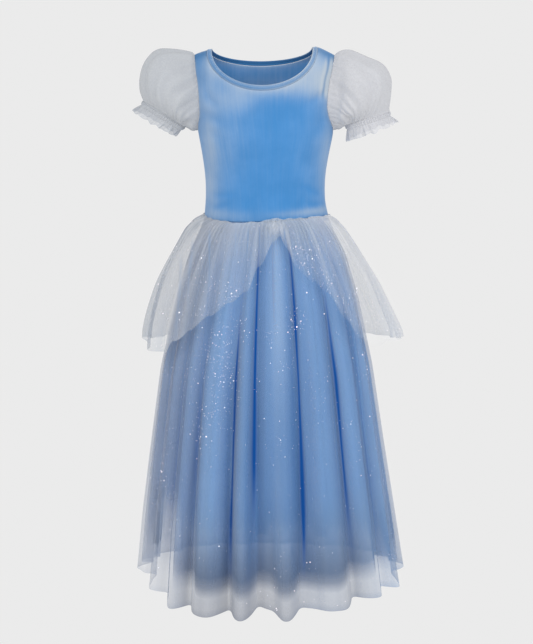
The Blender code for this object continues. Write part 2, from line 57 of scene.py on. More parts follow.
# %% Camera
CAMERA_AWAY = 2.6
CAMERA_TILT_DOWN = 9.8
CAMERA_LENS = 88.38

lens = bpy.data.cameras.new("camera")
lens.lens = CAMERA_LENS
lens.sensor_width = 36.0
camera = bpy.data.objects.new("camera", lens)
camera.location = (0.0, -CAMERA_AWAY, 0.0)
camera.rotation_euler = (math.radians(90.0 - CAMERA_TILT_DOWN), 0.0, 0.0)
bpy.context.scene.collection.objects.link(camera)
bpy.context.scene.camera = camera
bpy.context.scene.view_settings.view_transform = "Standard"
print("camera", CAMERA_AWAY, "m away, tilted down", CAMERA_TILT_DOWN, "degrees")

# %% Floor and world
PALE = 0.83
FLOOR_HEIGHT = -0.96
FLOOR_HALF = 9.0

world = bpy.data.worlds.new("studio")
world.use_nodes = True
world.node_tree.nodes["Background"].inputs["Color"].default_value = (PALE, PALE, PALE, 1.0)
bpy.context.scene.world = world

corners = [(-1, -1), (1, -1), (1, 1), (-1, 1)]
floor_mesh = bpy.data.meshes.new("floor")
floor_mesh.from_pydata([(x * FLOOR_HALF, y * FLOOR_HALF, FLOOR_HEIGHT) for x, y in corners],
                       [], [(0, 1, 2, 3)])
floor = bpy.data.objects.new("floor", floor_mesh)
bpy.context.scene.collection.objects.link(floor)
floor_paper = bpy.data.materials.new("pale_paper")
floor_paper.use_nodes = True
paper = floor_paper.node_tree.nodes["Principled BSDF"].inputs
paper["Base Color"].default_value = (0.0, 0.0, 0.0, 1.0)
paper["Specular IOR Level"].default_value = 0.0
paper["Emission Color"].default_value = (PALE, PALE, PALE, 1.0)
paper["Emission Strength"].default_value = 1.0
floor_mesh.materials.append(floor_paper)
print("floor at", FLOOR_HEIGHT)

# %% Soft lights
# name, place, width, watts
SOFT_LIGHTS = [
    ("key", (-1.6, -2.3, 1.2), 1.6, 30.0),
    ("fill", (1.9, -2.0, 0.7), 1.6, 29.0),
]
AIM = (0.0, 0.0, -0.35)

for name, place, width, watts in SOFT_LIGHTS:
    light = bpy.data.lights.new(name, "AREA")
    light.size = width
    light.energy = watts
    lamp = bpy.data.objects.new(name, light)
    lamp.location = place
    toward = [a - p for a, p in zip(AIM, place)]
    across = math.hypot(toward[0], toward[1])
    lamp.rotation_euler = (math.atan2(across, -toward[2]), 0.0,
                           math.atan2(-toward[0], toward[1]))
    bpy.context.scene.collection.objects.link(lamp)
print(len(SOFT_LIGHTS), "soft lights")

# %% [markdown]
# ## Writing a finish as sums
# A finish is a chain of shader nodes. Wired by hand it is hard to read, so a socket is
# wrapped in a small class that knows plus, minus, times and power, and one method makes
# every other node. The Geometry Nodes further down are written with the same two classes.

# %% A socket that can be used in sums
class Link:
    """An output socket of one chain of nodes."""

    def __init__(self, chain, socket):
        self.chain = chain
        self.socket = socket

    def other(self, name):
        """Another output of the same node."""
        return Link(self.chain, self.socket.node.outputs[name])

    def join(self, operation, first, second):
        return self.chain.node("ShaderNodeMath", {"operation": operation},
                               {0: first, 1: second})

    def __add__(self, other):
        return self.join("ADD", self, other)

    def __radd__(self, other):
        return self.join("ADD", other, self)

    def __sub__(self, other):
        return self.join("SUBTRACT", self, other)

    def __rsub__(self, other):
        return self.join("SUBTRACT", other, self)

    def __mul__(self, other):
        return self.join("MULTIPLY", self, other)

    def __rmul__(self, other):
        return self.join("MULTIPLY", other, self)

    def __pow__(self, other):
        return self.join("POWER", self, other)

    def __rpow__(self, other):
        return self.join("POWER", other, self)


class Chain:
    """The nodes of one tree, made one after another."""

    def __init__(self, tree):
        self.tree = tree

    def node(self, kind, settings=None, sockets=None, out=0):
        made = self.tree.nodes.new(kind)
        for key, value in (settings or {}).items():
            setattr(made, key, value)
        for key, value in (sockets or {}).items():
            self.feed(made.inputs[key], value)
        return Link(self, made.outputs[out])

    def feed(self, socket, value):
        if isinstance(value, Link):
            self.tree.links.new(value.socket, socket)
        else:
            socket.default_value = value


print("sockets can be used in sums")


# %% A finish and its patterns
class Finish(Chain):
    """A material and the shader at the end of its nodes."""

    def __init__(self, name):
        self.material = bpy.data.materials.new(name)
        self.material.use_nodes = True
        super().__init__(self.material.node_tree)
        self.shader = self.tree.nodes["Principled BSDF"]

    def set(self, **sockets):
        """Shader sockets by name, with _ for a space."""
        for key, value in sockets.items():
            self.feed(self.shader.inputs[key.replace("_", " ")], value)

    def spread(self, name):
        """A number kept on the points of the piece."""
        return self.node("ShaderNodeAttribute", {"attribute_name": name}, out="Fac")

    def place(self):
        return self.node("ShaderNodeTexCoord", out="Object")

    def along_the_cloth(self, across, down):
        """Places on the cloth, stretched so that a pattern runs down it."""
        flat = self.node("ShaderNodeUVMap", {"uv_map": "cloth"})
        return self.node("ShaderNodeMapping", {},
                         {"Vector": flat, "Scale": (across, down, 1.0)})

    def noise(self, scale, detail=2.0, where=None):
        return self.node("ShaderNodeTexNoise", {},
                         {"Vector": where or self.place(), "Scale": scale, "Detail": detail})

    def rise(self, value, low, high):
        """0 below low, 1 above high and eased between them."""
        return self.node("ShaderNodeMapRange", {"interpolation_type": "SMOOTHSTEP"},
                         {"Value": value, "From Min": low, "From Max": high})

    def mix(self, mask, first, second):
        """First colour where the mask is 0 and second where it is 1."""
        return self.node("ShaderNodeMix", {"data_type": "RGBA"},
                         {0: mask, 6: first, 7: second}, out=2)

    def bump(self, height, strength, distance):
        return self.node("ShaderNodeBump", {},
                         {"Height": height, "Strength": strength, "Distance": distance})


def tone(red, green, blue):
    """A screen colour from 0 to 255 as a shader colour."""
    shares = [v / 255.0 for v in (red, green, blue)]
    curved = [v / 12.92 if v <= 0.04045 else ((v + 0.055) / 1.055) ** 2.4 for v in shares]
    return (*curved, 1.0)


print("finishes are written as sums")

# %% [markdown]
# ## Cloth as grids of points
# Every sheet is a grid: rows run down the cloth and columns run across or round it.
# NumPy works out whole grids at once, which is far quicker than point by point. The
# grid keeps its place on the cloth as a UV map in metres, so a weave follows the cloth.

# %% From a grid to a sheet
def grid_lengths(grid, ring):
    """Mean way along the cloth of each column and each row."""
    closed = np.concatenate([grid, grid[:, :1]], axis=1) if ring else grid
    across = np.linalg.norm(np.diff(closed, axis=1), axis=2).mean(axis=0)
    down = np.linalg.norm(np.diff(grid, axis=0), axis=2).mean(axis=1)
    return np.append(0.0, np.cumsum(across)), np.append(0.0, np.cumsum(down))


def sheet_faces(grid, ring):
    """Four points for each face, facing outwards, and their places on the flat cloth."""
    rows, columns = grid.shape[:2]
    spans = columns if ring else columns - 1
    j, i = np.meshgrid(np.arange(rows - 1), np.arange(spans), indexing="ij")
    j, i = j.ravel(), i.ravel()
    ahead = (i + 1) % columns
    faces = np.stack([j * columns + i, (j + 1) * columns + i,
                      (j + 1) * columns + ahead, j * columns + ahead], axis=1)
    u, v = grid_lengths(grid, ring)
    places = np.stack([np.stack([u[i], v[j]], 1), np.stack([u[i], v[j + 1]], 1),
                       np.stack([u[i + 1], v[j + 1]], 1), np.stack([u[i + 1], v[j]], 1)], 1)
    points = grid.reshape(-1, 3)
    middle = points.mean(axis=0)
    a, b, c = (points[faces[:, k]] for k in (0, 1, 2))
    out = np.einsum("ij,ij->i", np.cross(b - a, c - a), a - middle).sum()
    if out < 0.0:
        faces = faces[:, ::-1]
        places = places[:, ::-1]
    return faces, places


def make_sheet(name, grid, ring, finish, replaces, slot, **spreads):
    """A sheet of cloth from a grid of points in millimetres. Spreads are numbers kept on
    its points for the finish."""
    faces, places = sheet_faces(grid, ring)
    mesh = bpy.data.meshes.new(name)
    mesh.from_pydata((grid.reshape(-1, 3) * MM).tolist(), [], faces.tolist())
    layer = mesh.uv_layers.new(name="cloth")
    layer.data.foreach_set("uv", (places.reshape(-1, 2) * MM).ravel())
    for key, values in spreads.items():
        kept = mesh.attributes.new(key, "FLOAT", "POINT")
        kept.data.foreach_set("value", np.broadcast_to(values, grid.shape[:2]).ravel())
    mesh.shade_smooth()
    mesh.materials.append(finish)
    piece = bpy.data.objects.new(name, mesh)
    bpy.context.scene.collection.objects.link(piece)
    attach(piece, "root")
    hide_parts(replaces)
    area = sum(face.area for face in mesh.polygons)
    print(name, "has", len(mesh.polygons), "faces,", round(area, 3), "m2")
    return piece


def settled(piece):
    """The mesh of a piece with its modifiers applied."""
    graph = bpy.context.evaluated_depsgraph_get()
    return bpy.data.meshes.new_from_object(piece.evaluated_get(graph))


def give_wall(piece, wall):
    """Thickness towards the inside of the dress, applied to the mesh."""
    skin = piece.modifiers.new("wall", "SOLIDIFY")
    skin.thickness = wall * MM
    skin.offset = -1.0
    solid = settled(piece)
    piece.modifiers.clear()
    piece.data = solid


print("a grid of points can become a sheet")


# %% Reading tables and making things uneven
def share_of(x):
    """A value kept between 0 and 1."""
    return np.clip(x, 0.0, 1.0)


def smooth(share):
    """From 0 to 1 with both ends eased."""
    share = share_of(share)
    return share * share * (3.0 - 2.0 * share)


def column(table, x, k):
    """Straight line between the rows of a table, sorted by its first column."""
    rows = sorted(table)
    return np.interp(x, [row[0] for row in rows], [row[k] for row in rows])


def eased(table, x, k, reach):
    """The same with its corners rounded, and with its two ends kept."""
    ends = sorted(row[0] for row in table)
    room = np.minimum(np.minimum(x - ends[0], ends[-1] - x), reach)
    room = np.maximum(room, 0.0)
    steps = np.linspace(-1.0, 1.0, 9)
    return sum(column(table, x + s * room, k) for s in steps) / len(steps)


def between(x, low, high, rise, fall):
    """1 from low to high, eased in over rise and out over fall."""
    return smooth((x - low) / rise) * smooth((high - x) / fall)


def hump(x, at, reach, power=2):
    """1 at one place and soft to 0 on both sides of it, flatter with a higher power."""
    return np.exp(-((x - at) / reach) ** power)


def drift(turn, along, seed, low, high, reach):
    """A smooth uneven value near -1 to 1 that closes round a ring."""
    dice = np.random.RandomState(seed)
    total = 0.0
    for _ in range(6):
        count = dice.randint(low, high + 1)
        slant = dice.uniform(-reach, reach)
        total = total + np.sin(count * turn + slant * along + dice.uniform(0.0, 6.28))
    return total / 3.0


def gathers(turn, along, count, seed):
    """Uneven waves round a ring, 0 on a ridge and 1 in a trough."""
    phase = count * turn
    phase = phase + 2.4 * drift(turn, along, seed, 2, 5, 1.5)
    phase = phase + 1.0 * drift(turn, along, seed + 1, 7, 15, 2.5)
    return 0.5 - 0.5 * np.cos(phase)


print("helpers for cloth are ready")

# %% [markdown]
# ## Finishes
# Velvet is a cloth of short upright fibres. Seen straight on it is deep in colour, and
# along its edges the fibres catch the light and turn whitish. A sheen layer gives the
# edges, and listed pale areas are painted sheen where the nap is brushed. A darker blue is
# painted shade along the shoulders, under the arms and above the waist.
#
# Tulle and organza are nets so fine that the eye sees a veil. Each layer lets part of
# the light through, and more threads are in the way where the cloth slants, so a number
# kept on the points says how steeply each place slants.

# %% Velvet
def velvet(name, base):
    cloth = Finish(name)
    nap = cloth.noise(24.0, 3.0)
    streaks = cloth.noise(1.0, 4.0, cloth.along_the_cloth(260.0, 13.0))
    grain = cloth.noise(1300.0, 2.0)
    uneven = (nap - 0.5) * 0.26 + (streaks - 0.5) * 0.24
    # Pale is painted sheen: the whitish colour where the nap catches the light.
    brushed_sheen = cloth.rise(cloth.spread("pale") + uneven, -0.1, 1.25)
    colour = cloth.mix(cloth.rise(nap, 0.25, 0.75), tone(*[v * 0.96 for v in base]),
                       tone(*base))
    colour = cloth.mix(brushed_sheen, colour, tone(178, 188, 197))
    # Deep is painted shade, a darker teal blue.
    colour = cloth.mix(cloth.spread("deep"), colour, tone(46, 104, 154))
    colour = cloth.mix((grain - 0.35) * 0.3, colour, tone(*[v * 0.8 for v in base]))
    cloth.set(Base_Color=colour, Roughness=0.85, Sheen_Weight=0.4, Sheen_Roughness=0.35,
              Sheen_Tint=(0.80, 0.88, 1.0, 1.0), Specular_IOR_Level=0.15,
              Normal=cloth.bump(grain + nap * 0.6, 0.35, 0.0006))
    return cloth.material


VELVET = velvet("blue_velvet", (66, 133, 194))
# The band is the same velvet turned over, and its darker, greyer base is painted shade.
VELVET_TURNED = velvet("blue_velvet_turned", (60, 118, 172))
print("velvet made")

# %% Net cloths
def net(name, cover, weave, low_cover, streaky, ridge, trough, valley, low, pale, grey):
    """A sheer cloth. Its colours are for ridges, for painted shade in the troughs, for painted
    shadow in tight valleys and in the low part, for painted light where the light falls
    straight on it and for a painted grey shade."""
    cloth = Finish(name)
    threads = cloth.node("ShaderNodeTexVoronoi", {"feature": "DISTANCE_TO_EDGE"},
                         {"Vector": cloth.along_the_cloth(1.0, 1.0), "Scale": weave},
                         out="Distance")
    cloudy = cloth.noise(22.0, 3.0)
    mottled = cloth.noise(330.0, 3.0)
    streaks = cloth.noise(1.0, 3.0, cloth.along_the_cloth(130.0, 5.0))
    tight = cloth.spread("valley")
    uneven = 0.55 + cloudy * 0.3 + streaks * 0.5 * streaky + mottled * 0.3
    cover_here = cover * (1.0 - (threads - 0.15) * 0.5) * uneven
    veil = 1.0 - (1.0 - cover_here) ** cloth.spread("slant")
    veil = veil + cloth.spread("edge") * (1.0 - veil) * 0.35
    low_here = cloth.spread("low")
    veil = veil + low_here * (1.0 - veil) * low_cover
    veil = veil + tight * (1.0 - veil) * 0.85
    veil = veil * (1.0 - cloth.spread("fade"))
    # Trough, valley and low are painted shade, lit is painted light, grey is a painted grey
    # shade.
    shade = cloth.spread("trough") + (streaks - 0.5) * streaky + (mottled - 0.5) * 0.4
    colour = cloth.mix(shade, tone(*ridge), tone(*trough))
    colour = cloth.mix(cloth.spread("lit"), colour, tone(*pale))
    colour = cloth.mix(cloth.spread("grey"), colour, tone(*grey))
    colour = cloth.mix(low_here, colour, tone(*low))
    colour = cloth.mix(tight, colour, tone(*valley))
    cloth.set(Base_Color=colour, Alpha=veil, Roughness=0.8,
              Specular_IOR_Level=0.1, Sheen_Weight=0.06, Sheen_Roughness=0.4)
    return cloth.material


TULLE = net("glitter_tulle_long", 0.30, 900.0, 0.38, 0.8, ridge=(142, 168, 202),
            trough=(78, 130, 186), valley=(12, 74, 146), low=(112, 120, 137),
            pale=(186, 200, 218), grey=(162, 168, 184))
TULLE_PALE = net("glitter_tulle_short", 0.33, 900.0, 0.0, 0.9, ridge=(188, 195, 202),
                 trough=(146, 166, 188), valley=(98, 132, 172), low=(190, 196, 202),
                 pale=(222, 223, 226), grey=(176, 180, 188))
TULLE_BLUE = net("blue_tulle", 0.66, 800.0, 0.92, 0.8, ridge=(88, 152, 212),
                 trough=(46, 112, 186), valley=(8, 66, 136), low=(31, 61, 103),
                 pale=(122, 180, 232), grey=(124, 144, 178))
ORGANZA = net("organza", 0.62, 1400.0, 0.0, 0.25, ridge=(177, 182, 188), trough=(166, 171, 179),
              valley=(150, 158, 170), low=(184, 188, 194), pale=(205, 205, 210),
              grey=(190, 192, 196))
print("net cloths made")

# %% Lining cloth
def lining_cloth():
    cloth = Finish("blue_lining")
    # The noise paints soft shade of small folds. Low and valley paint shade, lit paints light
    # and grey paints a grey shade.
    folds = cloth.noise(9.0, 3.0)
    colour = cloth.mix(folds, tone(84, 146, 214), tone(110, 168, 228))
    colour = cloth.mix(cloth.spread("low"), colour, tone(60, 92, 140))
    colour = cloth.mix(cloth.spread("valley"), colour, tone(8, 80, 165))
    colour = cloth.mix(cloth.spread("lit"), colour, tone(140, 192, 240))
    colour = cloth.mix(cloth.spread("grey"), colour, tone(110, 128, 168))
    cloth.set(Base_Color=colour, Alpha=1.0 - cloth.spread("fade"), Roughness=0.55,
              Normal=cloth.bump(cloth.noise(700.0, 2.0), 0.2, 0.0004))
    return cloth.material


LINING = lining_cloth()
print("lining made")

# %% [markdown]
# ## The bodice
# The bodice is one front and one back panel of stretch velvet, joined at the sides and
# shoulders. A point on it is named by its angle round the body and its drop from the
# shoulder line, as in the part's source.

# %% Bodice sizes
BODICE_WALL = 1.3
SEAM_GAP = 0.4
ARCH = {"front": 38.0, "back": 26.0}
ARCH_LENGTH = 74.0
SHOULDER_SLOPE_REACH = 110.0
SHOULDER_EASE = 6.0
BODICE_EASE = 12.0
NECK_CENTRE = -7.0
NECK_HALF_WIDTH = 81.0
NECK_DROP = {"front": 57.0, "back": 21.0}
NECK_BAND = 8.0
ARMPIT_HEIGHT = -131.0
ARMHOLE_HALF_DEPTH = 34.0
STRAP_END = {-1: -115.0, 1: 109.0}
WAIST_HEIGHT = -271.0
WAIST_FRONT_DIP = 2.0
WAIST_TILT = 5.0

# height, left reach, right reach, front depth, back depth, roundness
BODICE = [
    (10, 124, 118, 58, 56, 0.87),
    (-10, 124, 118, 60, 58, 0.87),
    (-35, 123.5, 114.5, 62, 60, 0.87),
    (-68, 123, 112.5, 64, 62, 0.87),
    (-100, 115.5, 105.5, 67, 64, 0.87),
    (-131, 112, 110, 70, 65, 0.88),
    (-155, 107.5, 105, 71, 64, 0.9),
    (-180, 103.5, 100, 70, 62, 0.93),
    (-204, 100.5, 96.5, 69, 61, 0.95),
    (-229, 99.5, 95.5, 69, 62, 0.97),
    (-253, 100.5, 97, 72, 67, 0.99),
    (-271, 103, 103, 76, 73, 1.0),
    (-290, 103, 103, 76, 73, 1.0),
]

# x, height of the shoulder line
SHOULDER = [
    (-125, -14), (-115, -8), (-100, -3), (-88, 0), (74, 2), (82, 4), (95, -2), (109, -9),
    (120, -16),
]


print("bodice from", SHOULDER[3][1], "down to", WAIST_HEIGHT, "mm")


# %% A point on the bodice
def waist_height(angle):
    turn = np.radians(angle)
    tilt = WAIST_TILT * np.sin(turn) * np.cos(turn)
    return WAIST_HEIGHT - WAIST_FRONT_DIP * np.cos(turn) + tilt


def drop_from_way(way, side):
    turn = 0.5 * math.pi * np.minimum(way, ARCH_LENGTH) / ARCH_LENGTH
    return ARCH[side] * (1.0 - np.cos(turn)) + np.maximum(way - ARCH_LENGTH, 0.0)


def way_from_drop(drop, side):
    bent = np.clip(drop, 0.0, ARCH[side])
    turn = np.arccos(1.0 - bent / ARCH[side])
    return ARCH_LENGTH * turn / (0.5 * math.pi) + np.maximum(drop - ARCH[side], 0.0)


def fullness(drop, side):
    """How far the shoulder has rounded over, 0 on the shoulder line and 1 below it."""
    rest = 1.0 - np.clip(drop, 0.0, ARCH[side]) / ARCH[side]
    return np.sqrt(np.maximum(0.0, 1.0 - rest * rest))


def slope_share(drop):
    return 1.0 - smooth(drop / SHOULDER_SLOPE_REACH)


def shoulder_height(x):
    return eased(SHOULDER, x, 1, SHOULDER_EASE)


def ring_sizes(height, side):
    columns = (1, 2, 3 if side == "front" else 4, 5)
    left, right, depth, power = [eased(BODICE, height, k, BODICE_EASE) for k in columns]
    return 0.5 * (right - left), 0.5 * (right + left), depth, power


def bodice_point(angle, drop, side, inset=0.0):
    """Angle runs from -90 at the left side to 90 at the right side."""
    turn = np.radians(angle)
    height = -drop
    for _ in range(3):
        centre, reach, depth, power = ring_sizes(height, side)
        x = centre + reach * np.sign(turn) * np.abs(np.sin(turn)) ** power
        height = shoulder_height(x) * slope_share(drop) - drop
    centre, reach, depth, power = ring_sizes(height, side)
    x = centre + (reach - inset) * np.sign(turn) * np.abs(np.sin(turn)) ** power
    full = fullness(drop, side)
    y = (depth - inset) * np.abs(np.cos(turn)) ** power * full
    z = height - inset * np.sqrt(np.maximum(0.0, 1.0 - full * full))
    return np.stack([x, -y if side == "front" else y, z], axis=-1)


print("middle of the front, 100 mm down:", bodice_point(0.0, 100.0, "front").round(1))


# %% The edges of neck and armholes
def angle_from_x(x, height, side):
    centre, reach, depth, power = ring_sizes(height, side)
    share = np.minimum(1.0, np.abs(x - centre) / reach)
    return np.sign(x - centre) * np.degrees(np.arcsin(share ** (1.0 / power)))


def neck_turns(side, columns):
    """Turns round the neck that space its columns evenly along the cloth."""
    turn = np.linspace(-0.5 * math.pi, 0.5 * math.pi, 600)
    x = (NECK_HALF_WIDTH + NECK_BAND) * np.sin(turn)
    way = way_from_drop((NECK_DROP[side] + NECK_BAND) * np.cos(turn), side)
    length = np.append(0.0, np.cumsum(np.hypot(np.diff(x), np.diff(way))))
    return np.interp(np.linspace(0.0, length[-1], columns + 1), length, turn)


def neck_place(turn, side, band):
    """Angle and drop of points on the neck edge, band millimetres outside it."""
    x = NECK_CENTRE + (NECK_HALF_WIDTH + band) * np.sin(turn)
    drop = (NECK_DROP[side] + band) * np.cos(turn)
    height = shoulder_height(x) * slope_share(drop) - drop
    return angle_from_x(x, height, side), np.maximum(drop, 0.0)


def armhole_sizes(hand):
    top = float(column(SHOULDER, STRAP_END[hand], 1))
    return 0.5 * (top + ARMPIT_HEIGHT), 0.5 * (top - ARMPIT_HEIGHT)


def armhole_share(turn, hand, side):
    near = np.maximum(turn, 0.05)
    drop, height = armhole_drop(near, hand)
    depth = ring_sizes(height, side)[2]
    return ARMHOLE_HALF_DEPTH * np.sin(near) / (depth * fullness(drop, side))


def armhole_drop(turn, hand):
    centre, half_height = armhole_sizes(hand)
    height = centre + half_height * np.cos(turn)
    shoulder = float(column(SHOULDER, STRAP_END[hand], 1))
    drop = -height
    for _ in range(8):
        drop = shoulder * slope_share(drop) - height
    return np.maximum(drop, 0.0), height


def armhole_place(turn, hand, side):
    """Angle and drop of points on the armhole, from 0 at the top to pi below."""
    drop, height = armhole_drop(turn, hand)
    share = armhole_share(turn, hand, side)
    middle = 0.5 * (armhole_share(turn, hand, "front") + armhole_share(turn, hand, "back"))
    share = share + (middle - share) * np.maximum(0.0, 1.0 - turn / 0.6)
    share = np.clip(share, 0.0, 0.999)
    power = ring_sizes(height, side)[3]
    return hand * (90.0 - np.degrees(np.arcsin(share ** (1.0 / power)))), drop


print("armholes, centre and half height:", [armhole_sizes(hand) for hand in (-1, 1)])

# %% Grid of one panel
STRAP_COLUMNS = 18
NECK_COLUMNS = 84
SEAM_ROWS = 46
ARMHOLE_ROWS = 60


def panel_places(side):
    """Angle and drop of every point of one panel, waist row first."""
    columns = 2 * STRAP_COLUMNS + NECK_COLUMNS
    rows = SEAM_ROWS + ARMHOLE_ROWS
    angle = np.linspace(-90.0, 90.0, columns + 1)
    around = angle if side == "front" else 180.0 - angle
    bottom = np.stack([angle, way_from_drop(-(waist_height(around) + SEAM_GAP), side)], 1)
    edges = {}
    for hand in (-1, 1):
        waist = bottom[0, 1] if hand < 0 else bottom[-1, 1]
        turn = math.pi * (1.0 - np.arange(ARMHOLE_ROWS + 1) / ARMHOLE_ROWS)
        arm_angle, arm_drop = armhole_place(turn, hand, side)
        arm_angle[0] = hand * 90.0
        arm_way = way_from_drop(arm_drop, side)
        share = np.arange(SEAM_ROWS) / SEAM_ROWS
        seam = np.stack([np.full(SEAM_ROWS, hand * 90.0),
                         waist + (arm_way[0] - waist) * share], 1)
        edges[hand] = np.concatenate([seam, np.stack([arm_angle, arm_way], 1)])
    neck_angle, neck_drop = neck_place(neck_turns(side, NECK_COLUMNS), side,
                                       NECK_BAND + SEAM_GAP)
    neck_drop[[0, -1]] = 0.0
    neck = np.stack([neck_angle, way_from_drop(neck_drop, side)], 1)
    share = np.arange(STRAP_COLUMNS)[:, None] / STRAP_COLUMNS
    left = edges[-1][-1] * (1 - share) + neck[0] * share
    right = (edges[1][-1] * (1 - share) + neck[-1] * share)[::-1]
    left[:, 1] = 0.0
    right[:, 1] = 0.0
    top = np.concatenate([left, neck, right])
    v = np.linspace(0.0, 1.0, rows + 1)[:, None, None]
    grid = (1 - v) * bottom[None] + v * top[None]
    for i in range(STRAP_COLUMNS):
        share = i / STRAP_COLUMNS
        for here, low, hand in ((i, STRAP_COLUMNS, -1),
                                (columns - i, columns - STRAP_COLUMNS, 1)):
            grid[:, here] = edges[hand] * (1 - share) + grid[:, low] * share
    return grid[..., 0], drop_from_way(np.maximum(grid[..., 1], 0.0), side)


print("a panel has", panel_places("front")[0].shape, "rows and columns")

# %% [markdown]
# Creases are troughs listed one by one. Each runs from one place to another on the panel,
# deepest in its middle and soft at both ends, and no two have the same length.

# %% Creases on the bodice
# x and height where it starts, x and height where it ends, half width, depth
FRONT_CREASES = [
    (-104, -62, -70, -92, 7, 1.5),
    (-108, -92, -66, -132, 9, 1.2),
    (-106, -128, -60, -158, 8, 1),
    (96, -58, 70, -96, 7, 1.4),
    (100, -100, 64, -140, 9, 1.2),
    (-98, -236, -40, -222, 6, 1),
    (-96, -252, -52, -246, 5, 1.2),
    (96, -232, 44, -216, 6, 1.1),
    (94, -250, 60, -240, 5, 1.3),
    (-30, -262, -24, -226, 6, 0.7),
    (22, -262, 30, -218, 7, 0.8),
    (58, -262, 54, -224, 6, 0.7),
]
BACK_CREASES = [
    (-102, -70, -62, -104, 8, 1.4),
    (98, -66, 58, -108, 8, 1.5),
    (-96, -230, -30, -214, 7, 1.3),
    (-92, -250, -46, -242, 5, 1.2),
    (94, -226, 36, -210, 7, 1.2),
    (92, -248, 50, -238, 5, 1.3),
    (0, -262, -6, -220, 8, 0.8),
    (-40, -262, -48, -228, 6, 0.7),
    (44, -262, 40, -226, 6, 0.8),
]
print(len(FRONT_CREASES), "creases in front,", len(BACK_CREASES), "behind")

# %% Patches of painted sheen
# painted sheen where the nap is brushed the other way: x, height, reach across,
# reach down, strength
FRONT_SHEEN_PATCHES = [
    (-93, -188, 15, 78, 0.38),
    (-76, -165, 30, 80, 0.2),
    (-96, -240, 24, 40, 0.2),
    (-98, -110, 20, 50, 0.24),
    (-54, -78, 44, 24, 0.34),
    (-50, -130, 36, 60, 0.14),
    (52, -58, 48, 22, 0.42),
    (90, -42, 24, 36, 0.66),
    (-96, -36, 22, 34, 0.34),
    (98, -178, 15, 90, 0.34),
    (82, -170, 32, 80, 0.16),
    (76, -259, 36, 7, 0.46),
    (30, -262, 30, 6, 0.22),
    (-62, -264, 46, 10, 0.26),
]
BACK_SHEEN_PATCHES = [
    (-80, -170, 28, 70, 0.45),
    (84, -190, 24, 60, 0.4),
    (0, -60, 70, 18, 0.3),
    (-20, -255, 60, 10, 0.3),
    (30, -130, 30, 50, 0.15),
]
print(len(FRONT_SHEEN_PATCHES), "brushed patches in front,", len(BACK_SHEEN_PATCHES), "behind")


# %% Bodice panels
def patches(points, table):
    total = np.zeros(points.shape[:-1])
    for x, z, across, down, strength in table:
        total += strength * hump(points[..., 0], x, across) * hump(points[..., 2], z, down)
    return total


def crease_depth(points, creases):
    total = np.zeros(points.shape[:-1])
    for x0, z0, x1, z1, width, deep in creases:
        along = np.array([x1 - x0, z1 - z0], dtype=float)
        length = np.hypot(*along)
        along /= length
        dx = points[..., 0] - x0
        dz = points[..., 2] - z0
        way = (dx * along[0] + dz * along[1]) / length
        off = (dx * along[1] - dz * along[0]) / width
        ends = between(way, 0.0, 1.0, 0.35, 0.45)
        bend = off + 0.8 * np.sin(3.0 * way + x0)
        total += deep * ends * (np.exp(-bend * bend) - 0.35 * np.exp(-0.4 * (bend - 2.0) ** 2))
    return total


def nearest(points, line, limit):
    """Way from each point to a line of points, up to a limit."""
    flat = points.reshape(-1, 3)
    best = np.full(len(flat), limit)
    for spot in line:
        best = np.minimum(best, np.linalg.norm(flat - spot, axis=1))
    return best.reshape(points.shape[:-1])


